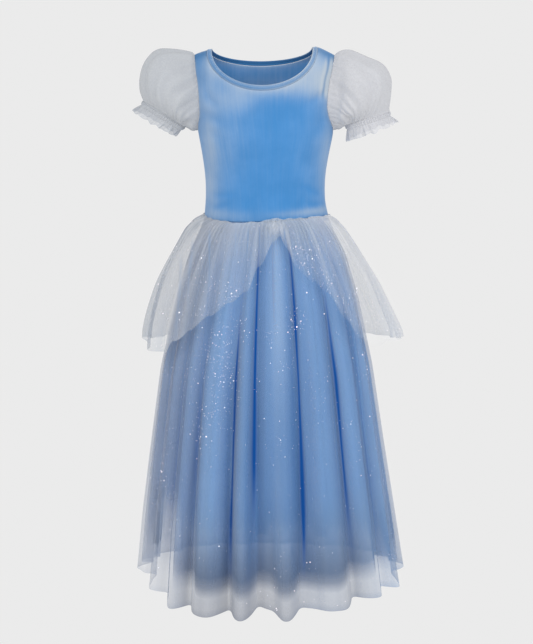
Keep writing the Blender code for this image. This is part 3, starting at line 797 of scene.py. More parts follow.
def make_bodice(side, creases, brushed_sheen):
    angle, drop = panel_places(side)
    flat = bodice_point(angle, drop, side)
    above = flat[..., 2] - waist_height(angle if side == "front" else 180.0 - angle)
    turn = np.radians(angle)
    pucker = gathers(turn, 0.0, 46, 3) * np.exp(-np.maximum(above, 0.0) / 9.0)
    edge_roll = 0.7 * np.exp(-np.maximum(above, 0.0) / 3.0)
    seam = hump(np.abs(angle), 90.0, 1.3) * (drop > 20.0)
    inset = crease_depth(flat, creases) + 0.8 * pucker + edge_roll + 0.7 * seam
    inset = np.maximum(inset, -0.5)
    grid = bodice_point(angle, drop, side, inset)
    grid[..., 1] = (np.minimum(grid[..., 1], -0.5 * SEAM_GAP) if side == "front"
                    else np.maximum(grid[..., 1], 0.5 * SEAM_GAP))
    neck_line = grid[-1, STRAP_COLUMNS:-STRAP_COLUMNS]
    from_neck = nearest(grid, neck_line, 60.0)
    from_arm = np.minimum(nearest(grid, grid[SEAM_ROWS:, 0], 60.0),
                          nearest(grid, grid[SEAM_ROWS:, -1], 60.0))
    # Pale is painted sheen: a halo along the neck and the armholes, at the side seams, on the
    # roll at the waist and in the listed patches, and less of it in the creases.
    pale = 0.50 * np.exp(-from_neck / 9.0) + 0.34 * np.exp(-from_arm / 4.0)
    pale += 0.20 * hump(np.abs(angle), 90.0, 5.0) + 0.22 * np.exp(-np.maximum(above, 0.0) / 8.0)
    pale += patches(grid, brushed_sheen) - 0.07 * (inset - 0.3)
    x, z = grid[..., 0], grid[..., 2]
    # Deep is painted shade: along the shoulder line, high on the left side and above the waist
    # seam.
    deep = 0.75 * hump(drop, 0.0, 11.0)
    deep += 0.22 * smooth((-88.0 - x) / 12.0) * smooth((z + 70.0) / 30.0)
    deep += 0.14 * smooth((40.0 - above) / 50.0)
    # Beside the right armhole run a painted highlight and a line of painted shade, and the
    # underarms get painted shade.
    beside = smooth(x / 20.0) * between(z, -86.0, -8.0, 24.0, 14.0)
    pale += beside * (0.75 * hump(from_arm, 4.5, 3.2) + 0.30 * hump(from_arm, 16.0, 3.0))
    deep += 0.45 * beside * hump(from_arm, 10.5, 2.0)
    underarm_shade = hump(z, -128.0, 18.0)
    deep += underarm_shade * (0.8 * hump(angle, 90.0, 14.0) + 0.5 * hump(angle, -90.0, 8.0))
    piece = make_sheet("bodice_" + side + "_velvet", grid, False, VELVET,
                       replaces="bodice_" + side, slot="velvet", pale=pale,
                       deep=share_of(deep))
    give_wall(piece, BODICE_WALL)
    return piece


bodice_front = make_bodice("front", FRONT_CREASES, FRONT_SHEEN_PATCHES)
bodice_back = make_bodice("back", BACK_CREASES, BACK_SHEEN_PATCHES)

# %% [markdown]
# ## The neck band
# The neck edge is a strip of the same velvet, folded over and stitched down, so it
# stands a little proud with a soft roll along each edge and a fine line of stitches.

# %% Neck band
BAND_RISE = 0.3
BAND_ROWS = 12
BAND_WALL = 1.5


def band_height(share):
    """How proud the band stands, 0 at its inner edge and 1 at its outer one."""
    roll = 0.55 * math.sin(math.pi * share) ** 0.5
    dent = 0.45 * math.exp(-((share - 0.33) / 0.13) ** 2)
    return BAND_RISE + roll - dent


def band_line(band, proud):
    """Points once round the neck, band millimetres outside its edge."""
    line = []
    for side in ("front", "back"):
        turns = neck_turns(side, NECK_COLUMNS)
        if side == "back":
            turns = turns[::-1]
        angle, drop = neck_place(turns[:-1], side, band)
        drop[0] = 0.0
        line.append(bodice_point(angle, drop, side, -proud))
    return np.concatenate(line)


def make_neck_band():
    grid = np.array([band_line(NECK_BAND * share, band_height(share))
                     for share in np.linspace(1.0, 0.0, BAND_ROWS + 1)])
    row = np.linspace(0.0, 1.0, BAND_ROWS + 1)[:, None]
    # Pale is painted highlight on the two rolled edges and painted light towards the right, and
    # deep is painted shade on the back of the band.
    pale = 0.34 + 0.5 * hump(row, 1.0, 0.2) + 0.4 * hump(row, 0.0, 0.15)
    pale = pale * (0.8 + 0.4 * smooth((grid[..., 0] + 20.0) / 90.0))
    deep = 0.55 * smooth((grid[..., 1] + 6.0) / 16.0)
    piece = make_sheet("neck_band_velvet", grid, True, VELVET_TURNED,
                       replaces="neck_band", slot="velvet_band", pale=pale - deep,
                       deep=0.5 * deep)
    give_wall(piece, BAND_WALL)
    return piece


neck_band = make_neck_band()

# %% [markdown]
# Two rows of short stitches hold the turned band down. They all look alike and follow a
# line, so Geometry Nodes walk along the line, set a point at every stitch and put one
# thread there, turned the way the line runs.
#
# A tree is written like a finish, as a chain of steps. It ends by turning its copies into
# plain faces, because other programs don't read the copies.

# %% A tree of steps
class Steps(Chain):
    """A Geometry Nodes tree with named inputs, and one painted mesh at its end."""

    def __init__(self, name, numbers, whole_numbers=()):
        super().__init__(bpy.data.node_groups.new(name, "GeometryNodeTree"))
        self.socket("Geometry", "Geometry")
        for key in numbers:
            self.socket(key, "Float")
        for key in whole_numbers:
            self.socket(key, "Int")
        self.socket("Geometry", "Geometry", "OUTPUT")
        self.enter = self.tree.nodes.new("NodeGroupInput")

    def socket(self, key, kind, way="INPUT"):
        self.tree.interface.new_socket(key, in_out=way, socket_type="NodeSocket" + kind)

    def given(self, key):
        return Link(self, self.enter.outputs[key])

    def paint(self, instances, material):
        """Instances become plain faces with a material, and the tree ends."""
        real = self.node("GeometryNodeRealizeInstances", {}, {"Geometry": instances})
        painted = self.node("GeometryNodeSetMaterial", {},
                            {"Geometry": real, "Material": material})
        leave = self.tree.nodes.new("NodeGroupOutput")
        self.feed(leave.inputs["Geometry"], painted)
        return self.tree


def run_tree(name, tree, mesh, sizes):
    """The plain mesh that a tree makes from a mesh, as a piece of its own."""
    helper = bpy.data.objects.new(name + "_helper", mesh)
    bpy.context.scene.collection.objects.link(helper)
    steps = helper.modifiers.new(name, "NODES")
    steps.node_group = tree
    for item in tree.interface.items_tree:
        if item.item_type == "SOCKET" and item.in_out == "INPUT" and item.name in sizes:
            steps[item.identifier] = sizes[item.name]
    helper.update_tag()
    made = settled(helper)
    made.name = name
    bpy.data.objects.remove(helper, do_unlink=True)
    piece = bpy.data.objects.new(name, made)
    bpy.context.scene.collection.objects.link(piece)
    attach(piece, "root")
    print(name, "has", len(made.polygons), "faces")
    return piece


print("trees are written as steps")

# %% Stitch tree
THREAD_SIDES = 6
THREAD_RINGS = 4

thread = Finish("sewing_thread")
thread.set(Base_Color=thread.mix(thread.noise(900.0, 2.0), tone(150, 182, 214),
                                 tone(188, 208, 228)), Roughness=0.6)


def stitch_tree():
    """Stitches along a line, with their spacing, length and thickness."""
    steps = Steps("stitches", ("Spacing", "Length", "Thickness"))
    line = steps.node("GeometryNodeMeshToCurve", {}, {"Mesh": steps.given("Geometry")})
    walk = steps.node("GeometryNodeCurveToPoints", {"mode": "LENGTH"},
                      {"Curve": line, "Length": steps.given("Spacing")})
    stitch = steps.node("GeometryNodeMeshUVSphere", {},
                        {"Segments": THREAD_SIDES, "Rings": THREAD_RINGS, "Radius": 0.5})
    thick = steps.given("Thickness")
    size = steps.node("ShaderNodeCombineXYZ", {},
                      {"X": thick, "Y": thick, "Z": steps.given("Length")})
    placed = steps.node("GeometryNodeInstanceOnPoints", {},
                        {"Points": walk, "Instance": stitch,
                         "Rotation": walk.other("Rotation"), "Scale": size})
    return steps.paint(placed, thread.material)


STITCHES = stitch_tree()
print("stitch tree made")

# %% Stitches on the band
STITCH_ROWS = {"outer": 0.24, "inner": 0.42}
STITCH_SINK = 0.12

for row_name, share in STITCH_ROWS.items():
    points = band_line(NECK_BAND * share, band_height(share) - STITCH_SINK)
    count = len(points)
    seam_line = bpy.data.meshes.new("band_line_" + row_name)
    seam_line.from_pydata((points * MM).tolist(), [(i, (i + 1) % count) for i in range(count)],
                          [])
    run_tree("band_stitches_" + row_name, STITCHES, seam_line,
             {"Spacing": 0.0027, "Length": 0.0020, "Thickness": 0.0005})
    bpy.data.meshes.remove(seam_line)

# %% [markdown]
# ## Puff sleeves and cuffs
# A puff sleeve is a wide panel gathered into a smaller armhole above and into an elastic
# cuff below. Rings between a top point and an under point give the puff, a smooth curve
# passes through them, and gathers fade out from both ends.

# %% Sleeve sizes
SLEEVE_COLUMNS = 320
SLEEVE_ROWS = 72

# top x, top height, under x, under height, half depth
SLEEVE_LEFT = [
    (-124, -3, -115, -132, 45),
    (-151, 1, -118.5, -132.3, 57),
    (-178, -1, -122, -131.5, 63),
    (-197, -19, -125.5, -129.5, 63),
    (-206, -42, -128.5, -127.5, 58),
    (-207, -65, -131, -126.5, 49),
    (-201, -83, -133, -127, 41),
]
SLEEVE_RIGHT = [
    (118, -3, 113, -130.5, 45),
    (135, -1, 116, -130, 57),
    (161, -11, 118.8, -129.2, 63),
    (188, -23, 121.5, -128, 63),
    (202, -45, 124, -126, 58),
    (203, -73, 126.3, -124.5, 49),
    (201, -100, 128, -123, 40),
]
print(len(SLEEVE_LEFT), "rings in each sleeve")


# %% Rings and what passes through them
def ring_points(row, turn):
    """One ring: turn is 0 at the top, a quarter in front and a half underneath."""
    top_x, top_z, under_x, under_z, deep = row
    half = 0.5 * math.hypot(top_x - under_x, top_z - under_z)
    ux = 0.5 * (top_x - under_x) / half
    uz = 0.5 * (top_z - under_z) / half
    up = half * np.cos(turn)
    x = 0.5 * (top_x + under_x) + ux * up
    z = 0.5 * (top_z + under_z) + uz * up
    return np.stack([x, -deep * np.sin(turn), z], axis=-1)


def through_rings(rings, rows):
    """A smooth grid that passes through every ring."""
    rings = np.array(rings)
    first = 2.0 * rings[0] - rings[1]
    last = 2.0 * rings[-1] - rings[-2]
    padded = np.concatenate([first[None], rings, last[None]])
    along = np.linspace(0.0, len(rings) - 1.0, rows + 1)
    k = np.minimum(along.astype(int), len(rings) - 2)
    t = (along - k)[:, None, None]
    a, b, c, d = (padded[k + n] for n in range(4))
    return 0.5 * (2.0 * b + (c - a) * t + (2.0 * a - 5.0 * b + 4.0 * c - d) * t ** 2
                  + (3.0 * b - a - 3.0 * c + d) * t ** 3)


def armhole_ring(hand, turn):
    """The armhole's edge, a seam's width outside the bodice."""
    centre, half_height = armhole_sizes(hand)
    folded = np.minimum(turn, 2.0 * math.pi - turn)
    front = np.stack(armhole_place(folded, hand, "front"))
    back = np.stack(armhole_place(folded, hand, "back"))
    near = np.where((turn <= math.pi)[:, None],
                    bodice_point(front[0], front[1], "front"),
                    bodice_point(back[0], back[1], "back"))
    return np.stack([near[:, 0] + hand * SEAM_GAP, -ARMHOLE_HALF_DEPTH * np.sin(turn),
                     centre + half_height * np.cos(turn)], axis=-1)


def slant_of(grid):
    """How many times more threads the eye meets where the cloth slants."""
    shape = np.roll(grid, -1, axis=1) - np.roll(grid, 1, axis=1)
    smooth_grid = grid.copy()
    reach = max(3, grid.shape[1] // 60)
    for shift in range(1, reach + 1):
        smooth_grid += np.roll(grid, shift, axis=1) + np.roll(grid, -shift, axis=1)
    smooth_grid /= 2 * reach + 1
    mean_way = np.roll(smooth_grid, -1, axis=1) - np.roll(smooth_grid, 1, axis=1)
    ratio = np.linalg.norm(shape, axis=2) / np.maximum(np.linalg.norm(mean_way, axis=2), 1e-6)
    return np.clip(ratio, 0.8, 3.5)


def once_round(columns):
    return np.linspace(0.0, 2.0 * math.pi, columns, endpoint=False)


def outwards(grid):
    """The way out from the middle of each ring, and each row's share of the length."""
    out = grid - grid.mean(axis=1, keepdims=True)
    out /= np.linalg.norm(out, axis=2, keepdims=True)
    return out, np.linspace(0.0, 1.0, len(grid))[:, None]


def organza_piece(node, hand, grid, trough, edge):
    """The light falls more on the right arm than on the left one."""
    # Trough is painted shade in the gathers.
    return make_sheet(node + "_organza", grid, True, ORGANZA, node, "organza",
                      slant=slant_of(grid), trough=trough, edge=edge,
                      lit=0.12 if hand < 0 else 0.7)


print("rings and grids are ready")


# %% Sleeves
def make_sleeve(node, table, hand, dents, seed):
    turn = once_round(SLEEVE_COLUMNS)
    rings = [armhole_ring(hand, turn)] + [ring_points(row, turn) for row in table]
    grid = through_rings(rings, SLEEVE_ROWS)
    out, v = outwards(grid)
    puff = np.sin(math.pi * v) ** 0.7
    from_arm = smooth(v / 0.05) * np.exp(-v / 0.22)
    from_cuff = smooth((1.0 - v) / 0.03) * np.exp(-(1.0 - v) / 0.16)
    fan = turn - 1.05 * v * np.sin(turn)
    inset = 1.7 * from_arm * gathers(fan, v, 31, seed + 5)
    inset += 2.4 * from_cuff * gathers(fan, v, 34, seed + 9)
    inset += 2.3 * puff * gathers(fan, 2.0 * v, 15, seed)
    inset += 0.9 * puff * drift(fan, 9.0 * v, seed + 13, 3, 9, 1.5)
    for at_turn, at_v, wide, long, deep in dents:
        off = (np.angle(np.exp(1j * (fan - at_turn)))) / wide
        way = (v - at_v) / long
        inset += deep * np.exp(-off * off - way * way)
    edge = np.exp(-v / 0.03) + np.exp(-(1.0 - v) / 0.02)
    # The trough share is painted shade in the gathers and dents.
    return organza_piece(node, hand, grid - out * inset[..., None], share_of(inset / 8.0), edge)


# turn, share along, width, length, depth
LEFT_DENTS = [
    (0.75, 0.22, 0.16, 0.2, 4),
    (1.25, 0.3, 0.14, 0.24, 5),
    (1.75, 0.26, 0.15, 0.2, 4),
    (2.2, 0.55, 0.2, 0.25, 4.5),
    (4.2, 0.35, 0.2, 0.25, 4.5),
    (5.1, 0.25, 0.18, 0.22, 4),
]
RIGHT_DENTS = [
    (0.8, 0.65, 0.16, 0.25, 4),
    (1.4, 0.2, 0.2, 0.14, 5.5),
    (1.95, 0.6, 0.15, 0.25, 4.5),
    (2.5, 0.4, 0.2, 0.2, 4),
    (4.0, 0.55, 0.2, 0.25, 4.5),
    (5.0, 0.3, 0.18, 0.22, 4),
]
sleeve_left = make_sleeve("sleeve_left", SLEEVE_LEFT, -1, LEFT_DENTS, 21)
sleeve_right = make_sleeve("sleeve_right", SLEEVE_RIGHT, 1, RIGHT_DENTS, 57)

# %% [markdown]
# A cuff is a narrow casing with elastic in it and a ruffle below. The casing is pinched
# into many small pleats, and the ruffle opens into fewer and wider waves. One grid makes
# both, and its waves grow where the casing ends.

# %% Cuffs
CUFF_COLUMNS = 480
CUFF_ROWS = 26

# top x, top height, under x, under height, half depth
CUFF_LEFT = [
    (-205, -89.5, -139.5, -131.5, 38.5),
    (-217, -99, -149, -139.5, 44),
]
CUFF_RIGHT = [
    (203, -107, 131, -130.5, 38),
    (213.5, -117.5, 132, -148, 45),
]
CASING_END = 0.46


def make_cuff(node, sleeve, table, hand, seed):
    top_x, top_z, under_x, under_z, deep = sleeve[-1]
    length = math.hypot(top_x - under_x, top_z - under_z)
    dx = hand * (top_z - under_z) / length * SEAM_GAP
    dz = -hand * (top_x - under_x) / length * SEAM_GAP
    start = (top_x + dx, top_z + dz, under_x + dx, under_z + dz, deep)
    turn = once_round(CUFF_COLUMNS)
    rings = [ring_points(row, turn) for row in [start] + table]
    grid = through_rings(rings, CUFF_ROWS)
    out, v = outwards(grid)
    casing = smooth((CASING_END - v) / 0.06)
    flare = smooth((v - CASING_END) / 0.5)
    wave = casing * (1.0 - 1.2 * gathers(turn, v, 64, seed))
    wave -= hump(v, CASING_END + 0.02, 0.05) + hump(v, 0.0, 0.05)
    wave += flare * 2.6 * (1.0 - 2.0 * gathers(turn, v, 14, seed + 3))
    wave -= (1.0 - casing) * 0.6 * gathers(turn, v, 43, seed + 7)
    grid = grid + out * wave[..., None]
    sway = flare * 1.6 * drift(turn, v, seed + 11, 9, 21, 0.5)
    along = rings[-1].mean(axis=0) - rings[0].mean(axis=0)
    along /= np.linalg.norm(along)
    grid = grid + along * sway[..., None]
    edge = np.exp(-(1.0 - v) / 0.05) + 0.9 * casing
    # The trough share is painted shade where the waves turn in.
    return organza_piece(node, hand, grid, 0.8 * share_of(0.5 - wave / 5.0), edge)


cuff_left = make_cuff("cuff_left", SLEEVE_LEFT, CUFF_LEFT, -1, 33)
cuff_right = make_cuff("cuff_right", SLEEVE_RIGHT, CUFF_RIGHT, 1, 71)

# %% [markdown]
# ## The skirt
# Three gathered tubes hang from the waist seam: a smooth lining, a blue tulle and an
# outer tulle with glitter. They share their long folds, because they lie on each other,
# and every tube has small folds of its own. A fold is an inset from an ellipse, 0 on a
# ridge and deepest in a valley.

# %% Skirt sizes
SKIRT_LENGTH = 640.0
SKIRT_EASE = 14.0
# drop below the waist, left reach, right reach, front depth, back depth, fold depth
SKIRT = [
    (0, 101.2, 101.2, 74.2, 71.2, 0),
    (15, 107, 107, 82, 79, 1.5),
    (60, 129, 131, 103, 102, 6),
    (135, 152, 154, 125, 126, 12),
    (250, 179, 180, 144, 146, 19),
    (375, 196, 200, 157, 160, 25),
    (500, 212, 221, 168, 172, 31),
    (640, 226, 244, 179, 182, 37),
]

# ridge angle, valley angle, valley depth as a share, hem height
FOLDS = [
    (-84, -70, 0.8, -873), (-59, -52.5, 0.7, -885), (-45.5, -38.5, 0.8, -905),
    (-29, -17, 1.0, -909), (-11.5, -6, 0.8, -909), (8, 17.5, 1.0, -908),
    (29, 40, 0.8, -899), (50, 61, 0.7, -890), (70, 79, 0.7, -888), (87, 97, 0.85, -870),
    (106, 116, 0.9, -878), (126, 134, 0.7, -882), (144, 155, 1.0, -884),
    (165, 173, 0.8, -888), (182, 193, 0.95, -889), (203, 211, 0.7, -886),
    (221, 230, 1.0, -884), (240, 249, 0.8, -880), (258, 267, 0.85, -876),
]
VALLEY_LIFT = 7.0
print("skirt sizes read,", len(FOLDS), "long folds")


# %% Folds and rings
def fold_rows(folds, angle):
    """The fold that holds each angle, and the angles of its ridges and valley."""
    ridges = np.array([row[0] for row in folds] + [folds[0][0] + 360.0])
    valleys = np.array([row[1] for row in folds])
    turn = ridges[0] + (angle - ridges[0]) % 360.0
    i = np.clip(np.searchsorted(ridges, turn, side="right") - 1, 0, len(folds) - 1)
    return turn, i, ridges[i], valleys[i], ridges[i + 1]


def fold_value(folds, angle, k, soften=1.4):
    """0 on a ridge and the valley's depth in a valley, with the valley rounded."""
    depths = np.array([row[k] for row in folds])
    total = 0.0
    steps = np.linspace(-soften, soften, 5)
    for step in steps:
        turn, i, ridge, valley, ahead = fold_rows(folds, angle + step)
        share = np.where(turn <= valley, (turn - ridge) / (valley - ridge),
                         (ahead - turn) / (ahead - valley))
        total = total + depths[i] * (1.0 - np.cos(0.5 * math.pi * share))
    return total / len(steps)


def valley_line(folds, angle, wide):
    """The depth of each valley near its bottom, and 0 a few degrees away."""
    turn, i, ridge, valley, ahead = fold_rows(folds, angle)
    return hump(turn, valley, wide) * np.array([row[2] for row in folds])[i]


def look_round(table, angle, k):
    """Eased value between the rows of a table that runs once round in degrees."""
    starts = np.array([row[0] for row in table] + [table[0][0] + 360.0])
    values = np.array([row[k] for row in table] + [table[0][k]], dtype=float)
    turn = starts[0] + (angle - starts[0]) % 360.0
    i = np.clip(np.searchsorted(starts, turn, side="right") - 1, 0, len(table) - 1)
    share = smooth((turn - starts[i]) / (starts[i + 1] - starts[i]))
    return values[i] + (values[i + 1] - values[i]) * share


def by_side(angle, left, right):
    return np.where(np.sin(np.radians(angle)) < 0.0, left, right)


def off_from(angle, at):
    """Degrees from one direction to another, from -180 to 180."""
    return (angle - at + 180.0) % 360.0 - 180.0


def skirt_ring(table, drop, angle):
    turn = np.radians(angle)
    left, right, front, back = [eased(table, drop, k, SKIRT_EASE) for k in (1, 2, 3, 4)]
    across = by_side(angle, left, right)
    deep = np.where(np.cos(turn) > 0.0, front, back)
    normal = np.stack([deep * np.sin(turn), -across * np.cos(turn)], axis=-1)
    normal /= np.linalg.norm(normal, axis=-1, keepdims=True)
    return np.stack([across * np.sin(turn), -deep * np.cos(turn)], axis=-1), normal


def hang(table, drop, angle, inset):
    """Points of a skirt grid from its drop, angle and inset."""
    ring, normal = skirt_ring(table, drop, angle)
    flat = ring - normal * inset[..., None]
    return np.concatenate([flat, (waist_height(angle) - drop)[..., None]], axis=-1)


print("skirt 300 mm down, in front:", skirt_ring(SKIRT, 300.0, 0.0)[0].round(1))

# %% Long folds
LEAN = 3.8
PANEL_BACK = 6.0
PANEL_RISE = 13.0


def swayed(drop, angle):
    """Long folds sway a little on their way down, and one in front leans to the left."""
    way = drop / SKIRT_LENGTH
    leaning = LEAN * way ** 3 * hump(angle, 15.0, 7.0)
    return angle + leaning + 1.3 * way * drift(np.radians(angle), 2.5 * way, 5, 2, 6, 1.5)


def middle_panel(drop, angle):
    """1 on the flat panel a little left of the middle, which lies back low down."""
    return hump(angle, -0.3, 5.2, 4) * smooth((drop - 260.0) / 240.0)


def fold_depth(drop):
    return eased(SKIRT, drop, 5, SKIRT_EASE)


def long_folds(drop, angle):
    folds = fold_depth(drop) * fold_value(FOLDS, swayed(drop, angle), 2)
    return folds + PANEL_BACK * middle_panel(drop, angle)


def skirt_places(columns, rows, rise):
    """Drop and angle of every point, with finer rows near the waist, and the hem."""
    angle = np.arange(columns) * 360.0 / columns - 90.0
    turn = swayed(SKIRT_LENGTH, angle)
    hem = waist_height(angle) - look_round(FOLDS, turn, 3) - rise
    hem = hem - VALLEY_LIFT * fold_value(FOLDS, turn, 2)
    hem = hem - PANEL_RISE * middle_panel(SKIRT_LENGTH, angle)
    share = np.linspace(0.0, 1.0, rows + 1)[:, None] ** 1.35
    return share * hem[None, :], np.broadcast_to(angle, (rows + 1, columns)), hem


print("the long folds are", float(fold_depth(SKIRT_LENGTH)), "mm deep at the hem")

# %% [markdown]
# Deep folds of a net look much darker than the net itself, because many layers lie behind
# each other there. A renderer follows only so many see-through layers, so each valley also
# keeps a number on its points, laid with a start, an end and a width of its own, and the
# finish darkens there. The light panels between the folds are laid in the same way.

# %% Shadows in the long folds
# angle of the valley, drop where its shadow starts and ends, half width, strength
SHADOWS = [
    (-70, 200, 560, 1.3, 0.3),
    (-52.5, 180, 560, 1.2, 0.38),
    (-38.5, 160, 520, 1.4, 0.45),
    (-16.6, 90, 600, 1.15, 0.85),
    (-17.8, 380, 590, 2.2, 0.45),
    (-5.9, -50, 520, 1.1, 0.95),
    (-6.8, 90, 330, 1.7, 0.35),
    (4.4, -30, 190, 0.7, 0.55),
    (18.1, -50, 615, 0.95, 0.95),
    (17.4, 330, 590, 1.2, 0.25),
    (40.8, 40, 580, 1.1, 0.8),
    (41.8, 160, 470, 2.2, 0.28),
    (61, 110, 560, 1.3, 0.5),
    (79, 220, 560, 1.4, 0.4),
    (97, 120, 560, 1.2, 0.6),
    (116, 150, 540, 1.1, 0.75),
    (134, 180, 560, 1.4, 0.5),
    (155, 90, 580, 1, 0.9),
    (173, 160, 520, 1.3, 0.6),
    (193, 70, 590, 1, 0.9),
    (211, 170, 540, 1.4, 0.5),
    (230, 110, 570, 1, 0.9),
    (249, 160, 540, 1.3, 0.6),
    (267, 200, 560, 1.3, 0.5),
]


def valleys(drop, angle, hem):
    """Painted shadows in the long folds, laid one by one, with weak painted shade on each side.
    """
    turn = swayed(drop, angle)
    total = 0.16 * valley_line(FOLDS, turn, 4.5) * smooth((drop - 40.0) / 150.0)
    for at, top, bottom, wide, strength in SHADOWS:
        width = wide * (1.0 + 0.3 * np.sin(drop / 47.0 + at))
        width = width * (0.45 + 0.55 * smooth((drop - top) / 240.0))
        ends = between(drop, top, bottom, 130.0, 150.0)
        total = total + strength * ends * hump(off_from(turn, at), 0.0, width)
    return share_of(total * smooth((hem - 20.0 - drop) / 60.0))


print(len(SHADOWS), "shadows laid in the folds")

# %% Light on the long folds
LIGHT_SHIFT = 3.0

# angle, how strongly painted light falls on the cloth high up and low down, how much
# painted grey shade it has
LIT = [
    (-84, 0.8, 0.65, 0.6), (-66, 0.75, 0.6, 0.7), (-48, 0.5, 0.18, 0.45),
    (-36, 0.34, 0.28, 0.2), (-27, 0.52, 0.5, 0.05), (-20, 0.42, 0.26, 0.0),
    (-13, 0.35, 0.25, 0.1), (-8, 0.1, 0.0, 0.05), (-1, 0.1, 0.0, 0.12),
    (7, 0.75, 0.0, 0.12), (14, 0.2, 0.0, 0.05), (20, 0.2, 0.2, 0.05), (32, 0.2, 0.15, 0.05),
    (44, 0.3, 0.25, 0.0), (56, 0.1, 0.15, 0.0), (68, 0.3, 0.25, 0.0), (84, 0.45, 0.35, 0.3),
    (110, 0.1, 0.1, 0.2), (140, 0.35, 0.25, 0.1), (170, 0.1, 0.1, 0.2),
    (190, 0.45, 0.25, 0.1), (215, 0.1, 0.1, 0.2), (245, 0.3, 0.2, 0.4),
]


def lit(drop, angle):
    """Painted light on the pale panels, strongest high up."""
    turn = swayed(drop, angle)
    high = look_round(LIT, turn, 1)
    total = high + (look_round(LIT, turn, 2) - high) * smooth((drop - 150.0) / 200.0)
    return total * (1.0 - 0.8 * smooth((drop - 460.0) / 120.0))


# A painted grey shade, from the last column of LIT.
def greyed(drop, angle):
    return look_round(LIT, swayed(drop, angle), 3)


def side_share(angle):
    """0 in front and behind, 1 at the two sides of the skirt."""
    return smooth((np.abs(np.sin(np.radians(angle))) - 0.55) / 0.40)


def fold_shade(inset, drop, angle, slack):
    """How far down a fold a point lies. Most of it is read a little to the right, so that
    the side of a fold that turns from the light is the darker one."""
    deep = fold_depth(drop)
    turned = long_folds(drop, angle + LIGHT_SHIFT) / (deep + 6.0)
    return share_of(0.35 * inset / (deep + slack) + 0.65 * turned)


def low_part(drop, hem, reach):
    """0 high up and 1 at the hem."""
    return smooth(1.0 - (hem - drop) / reach)


print("light laid on", len(LIT), "panels")


# %% Small folds
def small_folds(drop, angle, seed, size):
    """Waist gathers that merge into fewer, wider folds lower down."""
    turn = np.radians(angle)
    way = drop / SKIRT_LENGTH
    fine = 2.0 * smooth(drop / 12.0) * np.exp(-drop / 60.0)
    fine = (fine + 0.5 * np.exp(-drop / 8.0)) * gathers(turn, way, 112, seed)
    middle = 2.6 * smooth(drop / 60.0) * np.exp(-drop / 300.0)
    middle = middle * gathers(turn, way, 58, seed + 3)
    wide = 4.6 * smooth((drop - 60.0) / 260.0) * gathers(turn, way, 41, seed + 7)
    heavy = 0.55 + 0.45 * drift(turn, 2.0 * way, seed + 11, 3, 8, 1.0)
    return size * (fine + middle + wide * np.clip(heavy, 0.0, 1.2))


def soft_most(first, second, blend=1.2):
    """The larger of two insets with the step between them rounded."""
    high = np.maximum(first, second)
    return high + blend * np.log1p(np.exp(-np.abs(first - second) / blend))


print("small folds are ready")

# %% Clusters of glitter
# angle, drop, reach across, reach down, strength
LONG_CLUSTERS = [
    (-24, 222, 9, 44, 0.9),
    (-33, 195, 7, 26, 0.6),
    (-28, 300, 9, 30, 0.6),
    (-34, 350, 6, 24, 0.6),
    (-44, 250, 6, 60, 0.35),
    (-16, 165, 8, 14, 0.6),
    (0, 178, 5, 12, 0.6),
    (9, 222, 5, 12, 0.4),
    (18, 160, 5, 26, 0.8),
    (8, 345, 6, 20, 0.4),
    (28, 280, 6, 30, 0.3),
    (44, 330, 5, 16, 0.4),
    (-60, 400, 6, 40, 0.4),
    (70, 240, 8, 40, 0.3),
    (120, 220, 10, 40, 0.8),
    (160, 300, 9, 50, 0.6),
    (195, 200, 10, 40, 0.9),
    (235, 320, 9, 50, 0.6),
]
SHORT_CLUSTERS = [
    (-16, 112, 7, 18, 1),
    (-28, 140, 9, 12, 0.5),
    (-45, 60, 8, 20, 0.4),
    (-35, 90, 8, 14, 0.4),
    (20, 55, 6, 24, 1),
    (27, 92, 8, 18, 0.8),
    (36, 40, 6, 14, 0.5),
    (40, 130, 9, 20, 0.7),
    (58, 150, 10, 30, 0.4),
    (-70, 150, 9, 30, 0.3),
    (110, 90, 10, 30, 0.8),
    (150, 140, 10, 30, 0.7),
    (190, 70, 10, 30, 0.8),
    (230, 130, 10, 30, 0.7),
]


def glitter_share(clusters, drop, angle, everywhere):
    """Share of the densest glitter: clusters laid one by one over a thin dust."""
    total = 0.05 + 0.0 * drop
    for at, down, across, reach, strength in clusters:
        turn = off_from(angle, at)
        way = (drop - down) / reach
        total = total + strength * np.exp(-(turn / across) ** 2 - way * way)
    speckle = 0.5 + 0.5 * drift(np.radians(angle), drop / everywhere * 9.0, 307, 9, 31, 2.0)
    return share_of(total * (0.6 + 0.6 * speckle))


print(len(LONG_CLUSTERS), "clusters on the skirt,", len(SHORT_CLUSTERS), "on the overskirt")

# %% Outer skirt
OUTER_COLUMNS = 960
OUTER_ROWS = 74
FOLD_SEED = 101


def outer_folds(drop, angle):
    return long_folds(drop, angle) + small_folds(drop, angle, FOLD_SEED, 1.0)


drop, angle, outer_hem = skirt_places(OUTER_COLUMNS, OUTER_ROWS, 0.0)
outer_inset = outer_folds(drop, angle)
outer_grid = hang(SKIRT, drop, angle, outer_inset)
hem_edge = np.exp(-(outer_hem - drop) / 3.0)
waist_edge = 0.6 * np.exp(-drop / 25.0)
sides = side_share(angle)
